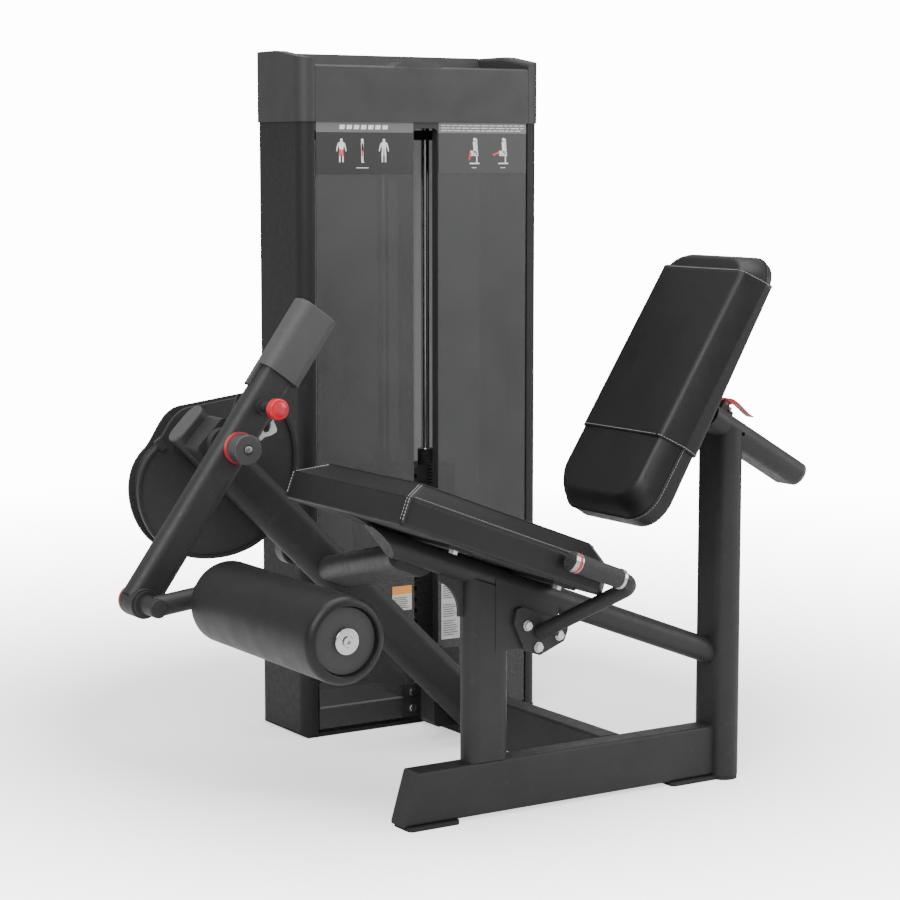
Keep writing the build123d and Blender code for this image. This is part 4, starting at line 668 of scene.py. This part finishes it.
def seat_form():
    rings = []
    pins = []
    for s in (0.3, 0.6, 0.85):
        rings.append(seat_ring(0.012, 0.001, 0.006, s))
        pins.append(1.0)
    rings.append(seat_ring(0.006, 0.0005, 0.006))
    pins.append(1.0)
    for z in (0.004, 0.008):
        rings.append(seat_ring(0.0, z))
        pins.append(1.0)
    for k in range(1, 7):
        z = 0.008 + (side_h - 0.002 - 0.008) * k / 6
        rings.append(seat_ring(0.0, z))
        pins.append(0.0 if k < 6 else 1.0)
    for k in range(0, 9):
        t = k / 8
        rings.append(seat_ring(bevel_in * t + 0.0012 * (1 - t), side_h + bevel_h * t, 0.009 - 0.003 * t))
        pins.append(1.0 if k in (0, 8) else 0.0)
    for s in (0.97, 0.93, 0.88, 0.82, 0.75, 0.67, 0.58, 0.49, 0.4, 0.31, 0.22, 0.13, 0.05):
        rings.append(seat_ring(bevel_in, side_h + bevel_h + 0.0005, 0.006, s))
        pins.append(0.0)
    verts, faces = ring_mesh(rings)
    n = len(rings[0])
    weights = []
    for value in pins:
        weights.extend([value] * n)
    weights.extend([1.0, 0.0])
    return rings, verts, faces, weights


seat_rings, sv, sf, sw = seat_form()
seat_piece = inflate("seat_upholstery", sv, sf, sw, 3.0, 0.010, "leather", "frame")
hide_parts("seat_cushion")
seat_tree = surface(seat_piece)


def closed(points):
    return list(points) + [points[0]]


def seat_corner_lines():
    """Double seam down each front corner and over the chamfer."""
    lines = []
    for side in (-1, 1):
        for off in (0.0015, 0.0085):
            reach = seat_half - off
            upright = [seat.to(-0.001, side * reach, z) for z in (0.008, 0.03, 0.052)]
            slope = [seat.to(bevel_in * t, side * (reach - bevel_in * t), side_h + bevel_h * t)
                     for t in (0.1, 0.4, 0.7, 0.98)]
            lines.append(upright + slope)
    return lines


def seat_side_lines():
    """Seam along each long side, where the side meets the chamfer."""
    return [[seat.to(0.01 + 0.042 * k, side * (seat_half - 0.0045), side_h + 0.003) for k in range(11)]
            for side in (-1, 1)]


stitches("seat_stitching", seat_corner_lines() + seat_side_lines(), seat_tree, "frame")
edge_path = closed(seat_ring(0.0006, side_h - 0.0005))
top_path = closed(seat_ring(bevel_in, side_h + bevel_h, 0.006))
groove_tube("seat_edge_welt", edge_path, 0.0017, "leather", "frame", seat_tree, 0.0002)
groove_tube("seat_top_welt", top_path, 0.0015, "leather", "frame", seat_tree, 0.0001)

# ---------------------------------------------------------------- backrest
back_low, back_high = -0.163, 0.411
recline = 32.4
back_mid = (back_low + back_high) / 2
back = Local(Vector((0.0183, mid_y, 0.7178)) + up(recline) * back_mid, up(recline), -down(recline))
back_bevel, back_depth = 0.043, 0.074
back_wide, back_tall, back_round = 0.29, back_high - back_low, 0.062


def wedge(depth, along):
    """Depth behind the face; the cushion thins towards its top."""
    if depth <= back_bevel:
        return depth
    full = back_depth - 0.0436 * along
    return back_bevel + (depth - back_bevel) * (full - back_bevel) / (back_depth - back_bevel)


def back_ring(width, height, radius, depth, shrink=1.0):
    """Ring parallel to the backrest's face; u runs up the backrest, v across, depth away from the user."""
    hx, hy = height / 2, width / 2
    corners = [(-hx, -hy), (hx, -hy), (hx, hy), (-hx, hy)]
    flat = rounded_outline(corners, radius, [56, 24, 56, 24], 9)
    return [back.to(x * shrink, y * shrink, -wedge(depth, back_mid + x * shrink)) for x, y in flat]


def back_form():
    rings = []
    pins = []
    for s in (0.3, 0.6, 0.9):
        rings.append(back_ring(back_wide - 0.01, back_tall - 0.01, back_round - 0.006, back_depth, s))
        pins.append(1.0)
    rings.append(back_ring(back_wide - 0.004, back_tall - 0.004, back_round - 0.002, back_depth - 0.0005))
    pins.append(1.0)
    for k in range(0, 6):
        d = back_depth - 0.003 - (back_depth - 0.003 - back_bevel) * k / 5
        rings.append(back_ring(back_wide, back_tall, back_round, d))
        pins.append(1.0 if k in (0, 5) else 0.0)
    for k in range(1, 9):
        t = k / 8
        grow = 0.006 * math.sin(math.pi * t)
        inset = 0.05 * t - grow
        corner = back_round - 0.010 * t
        rings.append(back_ring(back_wide - inset, back_tall - inset, corner, back_bevel * (1 - t)))
        pins.append(1.0 if k == 8 else 0.0)
    for s in (0.975, 0.94, 0.89, 0.83, 0.76, 0.68, 0.59, 0.5, 0.41, 0.32, 0.23, 0.14, 0.06):
        rings.append(back_ring(back_wide - 0.05, back_tall - 0.05, back_round - 0.010, -0.0005, s))
        pins.append(0.0)
    verts, faces = ring_mesh(rings)
    n = len(rings[0])
    weights = []
    for value in pins:
        weights.extend([value] * n)
    weights.extend([1.0, 0.0])
    return verts, faces, weights


bv, bf, bw = back_form()
back_piece = inflate("backrest_upholstery", bv, bf, bw, 2.0, 0.006, "leather", "backrest")
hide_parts("back_cushion")
back_tree = surface(back_piece)
back_edge = (back_wide + 0.0005, back_tall + 0.0005, back_round)
stitches("backrest_stitching", [closed(back_ring(*back_edge, back_bevel + 0.0035))], back_tree, "backrest")
back_path = closed(back_ring(*back_edge, back_bevel))
groove_tube("backrest_welt", back_path, 0.0018, "leather", "backrest", back_tree, 0.0002)

# ---------------------------------------------------------------- backrest sleeve band
band = Local((0.0183, mid_y, 0.7178), down(recline), up(recline))
band_low, band_high = -0.006, 0.361


def band_ring(grow, along, soften=0.012, shrink=1.0):
    face = 0.12 + grow * 0.7
    side = 0.145 + grow
    corners = [(-grow, -face), (back_bevel - grow * 0.3, -side), (back_depth + grow, -side),
               (back_depth + grow, side), (back_bevel - grow * 0.3, side), (-grow, face)]
    flat = rounded_outline(corners, [0.016, 0.014, 0.010, 0.010, 0.014, 0.016], [12, 8, 56, 8, 12, 48], 5)
    if shrink != 1.0:
        cx = back_depth / 2
        flat = [(cx + (x - cx) * shrink, y * shrink) for x, y in flat]
    return [band.to(wedge(x, along), y, along) for x, y in flat]


def band_form():
    rings = []
    pins = []
    grow = 0.0052
    for s in (0.3, 0.7, 0.95):
        rings.append(band_ring(grow - 0.001, band_low + 0.0015, shrink=s))
        pins.append(1.0)
    for z, g in ((band_low, grow - 0.0008), (band_low + 0.0012, grow), (band_low + 0.012, grow)):
        rings.append(band_ring(g, z))
        pins.append(1.0)
    steps = 30
    for k in range(1, steps):
        rings.append(band_ring(grow, band_low + 0.012 + (band_high - band_low - 0.024) * k / steps))
        pins.append(0.0)
    for z, g in ((band_high - 0.012, grow), (band_high - 0.0012, grow), (band_high, grow - 0.0008)):
        rings.append(band_ring(g, z))
        pins.append(1.0)
    for s in (0.95, 0.7, 0.3):
        rings.append(band_ring(grow - 0.001, band_high - 0.0015, shrink=s))
        pins.append(1.0)
    verts, faces = ring_mesh(rings)
    n = len(rings[0])
    face_edge = []
    flat = band_ring(grow, 0.0)
    for p in flat:
        u = (p - band.o).dot(band.x)
        v = abs((p - band.o).dot(band.y))
        near_face_edge = abs(v - 0.1236) < 0.006 and u < 0.002
        near_side_edge = abs(u - 0.0414) < 0.004 and v > 0.14
        back_side = u > back_depth - 0.002
        face_edge.append(0.9 if near_face_edge or near_side_edge or back_side else 0.0)
    weights = []
    for value in pins:
        weights.extend([max(value, e) for e in face_edge])
    weights.extend([1.0, 1.0])
    return verts, faces, weights


wv, wf, ww = band_form()
band_piece = inflate("backrest_band", wv, wf, ww, 2.0, 0.004, "leather", "backrest")
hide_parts("back_sleeve")
band_tree = surface(band_piece)
hem = [band_ring(0.0055, z) for z in (band_low + 0.0035, band_high - 0.0035)]
stitches("band_stitching", [closed(r) for r in hem], band_tree, "backrest")

# ---------------------------------------------------------------- roller foam
roller = Vector((-0.729, 0, 0.420))
near_y, far_y, roller_r = -1.035, -0.580, 0.077


def roller_form():
    """Skin of the roller, turned round its axis, with soft rims and a recess at each end."""
    profile = []
    near_recess = ((0.030, 0.014), (0.045, 0.014), (0.0575, 0.0135),
                   (0.0595, 0.011), (0.0602, 0.004), (0.0612, 0.001))
    far_recess = ((0.0612, 0.001), (0.0602, 0.004), (0.0595, 0.011),
                  (0.0575, 0.0115), (0.045, 0.012), (0.030, 0.012))
    for r, d in near_recess:
        profile.append((r, near_y + d))
    arc_r = 0.0152
    for k in range(0, 9):
        a = deg(90 * k / 8)
        profile.append((roller_r - arc_r + arc_r * math.sin(a), near_y + arc_r - arc_r * math.cos(a)))
    steps = 34
    for k in range(1, steps):
        y = near_y + arc_r + (far_y - near_y - 2 * arc_r) * k / steps
        profile.append((roller_r, y))
    for k in range(0, 9):
        a = deg(90 * k / 8)
        profile.append((roller_r - arc_r + arc_r * math.cos(a), far_y - arc_r + arc_r * math.sin(a)))
    for r, d in far_recess:
        profile.append((r, far_y - d))
    count = 96
    rings = []
    pins = []
    for r, y in profile:
        ring = []
        for k in range(count):
            a = 2 * math.pi * k / count
            ring.append(Vector((roller.x + r * math.cos(a), y, roller.z - r * math.sin(a))))
        rings.append(ring)
        inside = r < 0.062
        rim = y < near_y + 0.006 or y > far_y - 0.006
        pins.append(1.0 if inside else (0.8 if rim else 0.0))
    verts = []
    faces = []
    for ring in rings:
        verts.extend(ring)
    for i in range(len(rings) - 1):
        for k in range(count):
            a = i * count + k
            b = i * count + (k + 1) % count
            faces.append((b, a, a + count, b + count))
    first = [k for k in range(count)]
    last = [(len(rings) - 1) * count + k for k in range(count)]
    for k in range(count):
        faces.append((first[k], first[(k + 1) % count], last[(k + 1) % count], last[k]))
    weights = []
    for value in pins:
        weights.extend([value] * count)
    return verts, faces, weights


rv, rf, rw = roller_form()
roller_piece = inflate("roller_skin", rv, rf, rw, 1.2, 0.0025, "roller", "roller")
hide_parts("roller_foam")


# ---------------------------------------------------------------- turned details
def lathe_y(name, x, z, profile, material, body, count=64):
    """Turned part about a Y axis; profile is (radius, y) from one end to the other."""
    verts = []
    faces = []
    for r, y in profile:
        for k in range(count):
            a = 2 * math.pi * k / count
            verts.append(Vector((x + r * math.cos(a), y, z + r * math.sin(a))))
    for i in range(len(profile) - 1):
        for k in range(count):
            a = i * count + k
            b = i * count + (k + 1) % count
            faces.append((a, b, b + count, a + count))
    faces.append(tuple(reversed(range(count))))
    faces.append(tuple((len(profile) - 1) * count + k for k in range(count)))
    piece = new_piece(name, verts, faces, material, body)
    piece.data.set_sharp_from_angle(angle=deg(35))
    return piece


def join_shapes(name, shapes, y0, y1, material, body):
    """Several flat shapes in one mesh."""
    verts = []
    faces = []
    for outline in shapes:
        n = len(outline)
        s = len(verts)
        verts.extend([Vector((x, y0, z)) for x, z in outline])
        verts.extend([Vector((x, y1, z)) for x, z in outline])
        faces.append(tuple(s + k for k in range(n)))
        faces.append(tuple(s + k for k in reversed(range(n, 2 * n))))
        for k in range(n):
            faces.append((s + k, s + k + n, s + (k + 1) % n + n, s + (k + 1) % n))
    return new_piece(name, verts, faces, material, body, smooth=False)


def circle(x, z, r, count=18):
    turns = [2 * math.pi * k / count for k in range(count)]
    return [(x + r * math.cos(a), z + r * math.sin(a)) for a in turns]


def rect(x0, x1, z0, z1):
    return [(x0, z0), (x1, z0), (x1, z1), (x0, z1)]


def bar(x0, z0, x1, z1, w):
    d = Vector((x1 - x0, z1 - z0))
    n = Vector((-d.y, d.x)).normalized() * (w / 2)
    return [(x0 + n.x, z0 + n.y), (x0 - n.x, z0 - n.y), (x1 - n.x, z1 - n.y), (x1 + n.x, z1 + n.y)]


# ---------------------------------------------------------------- labels
label_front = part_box("labels")[0][1]
print_y0 = label_front - 0.00035
print_y1 = label_front + 0.0001


def standing_figure(x, z, h, side=False):
    """Plain standing figure, h tall, feet at z."""
    w = 0.5 if side else 1.0
    shapes = [circle(x, z + h * 0.93, h * 0.062)]
    shapes.append([(x - h * 0.13 * w, z + h * 0.83), (x - h * 0.09 * w, z + h * 0.5),
                   (x + h * 0.09 * w, z + h * 0.5), (x + h * 0.13 * w, z + h * 0.83),
                   (x + h * 0.04, z + h * 0.87), (x - h * 0.04, z + h * 0.87)])
    if side:
        shapes.append(bar(x, z + h * 0.8, x + h * 0.01, z + h * 0.46, h * 0.075))
        shapes.append(bar(x, z + h * 0.5, x, z + h * 0.03, h * 0.10))
        shapes.append(rect(x - h * 0.04, x + h * 0.09, z, z + h * 0.035))
    else:
        for s in (-1, 1):
            shapes.append(bar(x + s * h * 0.13, z + h * 0.8, x + s * h * 0.19, z + h * 0.63, h * 0.065))
            shapes.append(bar(x + s * h * 0.19, z + h * 0.63, x + s * h * 0.22, z + h * 0.47, h * 0.05))
            shapes.append(bar(x + s * h * 0.055, z + h * 0.52, x + s * h * 0.075, z + h * 0.27, h * 0.09))
            shapes.append(bar(x + s * h * 0.075, z + h * 0.28, x + s * h * 0.075, z + h * 0.02, h * 0.065))
    return shapes


def seated_figure(x, z, h, lift):
    """Plain seated figure on a machine; lift turns the lower leg."""
    shapes = [circle(x + h * 0.02, z + h * 0.92, h * 0.06)]
    shapes.append(bar(x + h * 0.06, z + h * 0.42, x + h * 0.02, z + h * 0.84, h * 0.15))
    shapes.append(bar(x + h * 0.08, z + h * 0.42, x - h * 0.17, z + h * 0.44, h * 0.12))
    shapes.append(bar(x + h * 0.16, z + h * 0.3, x + h * 0.1, z + h * 0.95, h * 0.05))
    shapes.append(bar(x - h * 0.16, z + h * 0.33, x + h * 0.14, z + h * 0.33, h * 0.05))
    shapes.append(bar(x + h * 0.12, z + h * 0.05, x + h * 0.12, z + h * 0.33, h * 0.05))
    shapes.append(rect(x - h * 0.2, x + h * 0.24, z, z + h * 0.05))
    knee_x = x - h * 0.17
    knee_z = z + h * 0.44
    leg = bar(knee_x, knee_z, knee_x - h * 0.3 * math.sin(lift), knee_z - h * 0.3 * math.cos(lift), h * 0.075)
    return shapes, leg


white_shapes = []
red_shapes = []
for x, side in ((-0.204, False), (-0.153, True), (-0.100, False)):
    white_shapes += standing_figure(x, 1.2265, 0.051, side)
for s in (-1, 1):
    red_shapes.append(bar(-0.204 + s * 0.0030, 1.2545, -0.204 + s * 0.0040, 1.2405, 0.0040))
red_shapes.append(bar(-0.153, 1.252, -0.153, 1.240, 0.0035))
for x, lift in ((0.128, deg(10)), (0.203, deg(70))):
    shapes, leg = seated_figure(x, 1.2235, 0.058, lift)
    white_shapes += shapes
    red_shapes.append(leg)
white_shapes.append(rect(-0.168, -0.138, 1.2150, 1.2166))
white_shapes.append(rect(0.122, 0.134, 1.2150, 1.2164))
white_shapes.append(rect(0.197, 0.209, 1.2150, 1.2164))
for k in range(7):
    x = -0.209 + k * 0.0175
    white_shapes.append([(x, 1.2965), (x + 0.0125, 1.2965), (x + 0.0140, 1.3055), (x + 0.0015, 1.3055)])
for row in range(3):
    z = 1.2945 + row * 0.0055
    x = 0.044
    while x < 0.25:
        w = rng.uniform(0.008, 0.024)
        white_shapes.append(rect(x, min(x + w, 0.258), z, z + 0.0016))
        x += w + 0.0035
join_shapes("label_print_white", white_shapes, print_y0, print_y1, "white", "frame")
join_shapes("label_print_red", red_shapes, print_y0 - 0.0002, print_y1, "printred", "frame")
ink_shapes = []
for row in range(6):
    z = 0.284 - row * 0.0045
    ink_shapes.append(rect(-0.078, -0.078 + rng.uniform(0.028, 0.041), z, z + 0.0014))
for row in range(22):
    z = 0.298 - row * 0.0052
    if row in (6, 7, 14):
        continue
    ink_shapes.append(rect(0.048, 0.048 + rng.uniform(0.024, 0.04), z, z + 0.0015))
join_shapes("placard_print", ink_shapes, print_y0, print_y1, "ink", "frame")

# ---------------------------------------------------------------- small hardware
pivot_x, pivot_z = -0.641, 0.688
bolt_profile = [(0.0, -0.5082), (0.0044, -0.5082), (0.0045, -0.5102), (0.0078, -0.5098),
                (0.0088, -0.5080), (0.0088, -0.5044), (0.0, -0.5044)]
lathe_y("pivot_cap_bolt", pivot_x, pivot_z, bolt_profile, "chrome", "lever")

arm = up(35.5)
spot = Vector((pivot_x, 0, pivot_z)) + arm * 0.093
ring_profile = [(0.0, -0.5343), (0.0145, -0.5343), (0.0145, -0.5351), (0.0135, -0.5357), (0.0, -0.5357)]
lathe_y("pull_knob_ring", spot.x, spot.z, ring_profile, "redmetal", "pull_pin")

for side in (-1, 1):
    x = 0.005 + side * 0.056
    z0 = 0.594
    verts = []
    faces = []
    count = 48
    bumper_profile = ((0.0098, z0), (0.0150, z0), (0.0156, z0 + 0.0015),
                      (0.0150, z0 + 0.0035), (0.0098, z0 + 0.0035))
    for r, z in bumper_profile:
        for k in range(count):
            a = 2 * math.pi * k / count
            verts.append(Vector((x + r * math.cos(a), -0.008 + r * math.sin(a), z)))
    for i in range(5):
        for k in range(count):
            a = i * count + k
            b = i * count + (k + 1) % count
            faces.append((a, b, (b + count) % (5 * count), (a + count) % (5 * count)))
    new_piece("bumper_ring_%s" % ("left" if side < 0 else "right"), verts, faces, "chrome", "moving_stack")

# ---------------------------------------------------------------- handle rings
grip_bands = (("rear", 0.215, 0.262, 0.0192), ("front_a", 0.885, 0.905, 0.0188),
              ("front_b", 0.945, 0.965, 0.0189))
for label, sign in (("near", -1), ("far", 1)):
    y = mid_y + sign * 0.238
    forward = down(21.4) * -1
    bend = Vector((grip_bend[0], y, grip_bend[2]))
    for tag, first, last, r in grip_bands:
        a = bend + forward * (grip_length * first)
        b = bend + forward * (grip_length * last)
        axis = (b - a).normalized()
        u = Vector((0, 1, 0))
        v = axis.cross(u)
        count = 48
        verts = []
        faces = []
        rings = ((a, r - 0.0012), (a + axis * 0.0008, r), (b - axis * 0.0008, r), (b, r - 0.0012))
        for p, rr in rings:
            for k in range(count):
                ang = 2 * math.pi * k / count
                verts.append(p + u * (rr * math.cos(ang)) + v * (rr * math.sin(ang)))
        for i in range(3):
            for k in range(count):
                p = i * count + k
                q = i * count + (k + 1) % count
                faces.append((p, q, q + count, p + count))
        faces.append(tuple(reversed(range(count))))
        faces.append(tuple(3 * count + k for k in range(count)))
        ring = new_piece("grip_ring_%s_%s" % (label, tag), verts, faces, "chrome", "frame")
        ring.data.set_sharp_from_angle(angle=deg(35))

# ---------------------------------------------------------------- stage
backdrop = 14.0
floor_mesh = bpy.data.meshes.new("floor")
floor_mesh.from_pydata([(-14, -14, 0), (14, -14, 0), (14, 14, 0), (-14, 14, 0)], [], [(0, 1, 2, 3)])
floor = bpy.data.objects.new("floor", floor_mesh)
bpy.context.scene.collection.objects.link(floor)
g = Graph("floor_pale")
patch = g.ramp(g.noise(2.0, 3), 0.3, 0.7, 0, 1)
g.link(g.mix(patch, (0.86, 0.86, 0.86), (0.88, 0.88, 0.88)), g.bsdf.inputs["Base Color"])
g.set(Roughness=0.6, Specular_IOR_Level=0.15)
distance = g.add("ShaderNodeVectorMath", operation="LENGTH")
g.link(g.coord, distance.inputs[0])
seen = g.add("ShaderNodeLightPath").outputs["Is Camera Ray"]
fade = g.math("MULTIPLY", g.ramp(distance.outputs["Value"], 0.7, 4.0, 0.06, 1.0), seen)
glow = g.add("ShaderNodeEmission")
glow.inputs["Strength"].default_value = backdrop
blend = g.add("ShaderNodeMixShader")
g.link(fade, blend.inputs["Fac"])
g.link(g.bsdf.outputs[0], blend.inputs[1])
g.link(glow.outputs[0], blend.inputs[2])
g.link(blend.outputs[0], g.out.inputs["Surface"])
floor_mesh.materials.append(g.mat)


def area(name, place, target, size, power):
    data = bpy.data.lights.new(name, "AREA")
    data.shape = "RECTANGLE"
    data.size = size[0]
    data.size_y = size[1]
    data.energy = power
    lamp = bpy.data.objects.new(name, data)
    lamp.location = place
    aim = Vector(target) - Vector(place)
    lamp.rotation_euler = aim.to_track_quat("-Z", "Y").to_euler()
    bpy.context.scene.collection.objects.link(lamp)
    return lamp


area("key_light", (-3.6, -3.4, 3.6), (-0.2, -0.5, 0.6), (3.0, 2.4), 210)
area("fill_light", (3.2, -3.2, 2.2), (0.0, -0.5, 0.6), (2.6, 2.6), 85)
area("top_light", (0.0, -0.6, 4.2), (0.0, -0.5, 0.0), (3.5, 3.5), 150)
world = bpy.data.worlds.new("studio")
bpy.context.scene.world = world
world.use_nodes = True
wt = world.node_tree
bg = wt.nodes["Background"]
bg.inputs["Color"].default_value = (1, 1, 1, 1)
bg.inputs["Strength"].default_value = 0.6
lit = wt.nodes.new("ShaderNodeBackground")
lit.inputs["Color"].default_value = (1, 1, 1, 1)
lit.inputs["Strength"].default_value = backdrop
path = wt.nodes.new("ShaderNodeLightPath")
blend = wt.nodes.new("ShaderNodeMixShader")
wt.links.new(path.outputs["Is Camera Ray"], blend.inputs["Fac"])
wt.links.new(bg.outputs[0], blend.inputs[1])
wt.links.new(lit.outputs[0], blend.inputs[2])
wt.links.new(blend.outputs[0], wt.nodes["World Output"].inputs["Surface"])

camera_data = bpy.data.cameras.new("camera")
camera_data.sensor_width = 36.0
camera_data.lens = 94.9
camera_data.clip_end = 100
camera = bpy.data.objects.new("camera", camera_data)
camera.location = (-2.697, -4.468, 1.227)
camera.rotation_euler = (deg(90 - 6.91), 0, deg(-32.33))
bpy.context.scene.collection.objects.link(camera)
bpy.context.scene.camera = camera
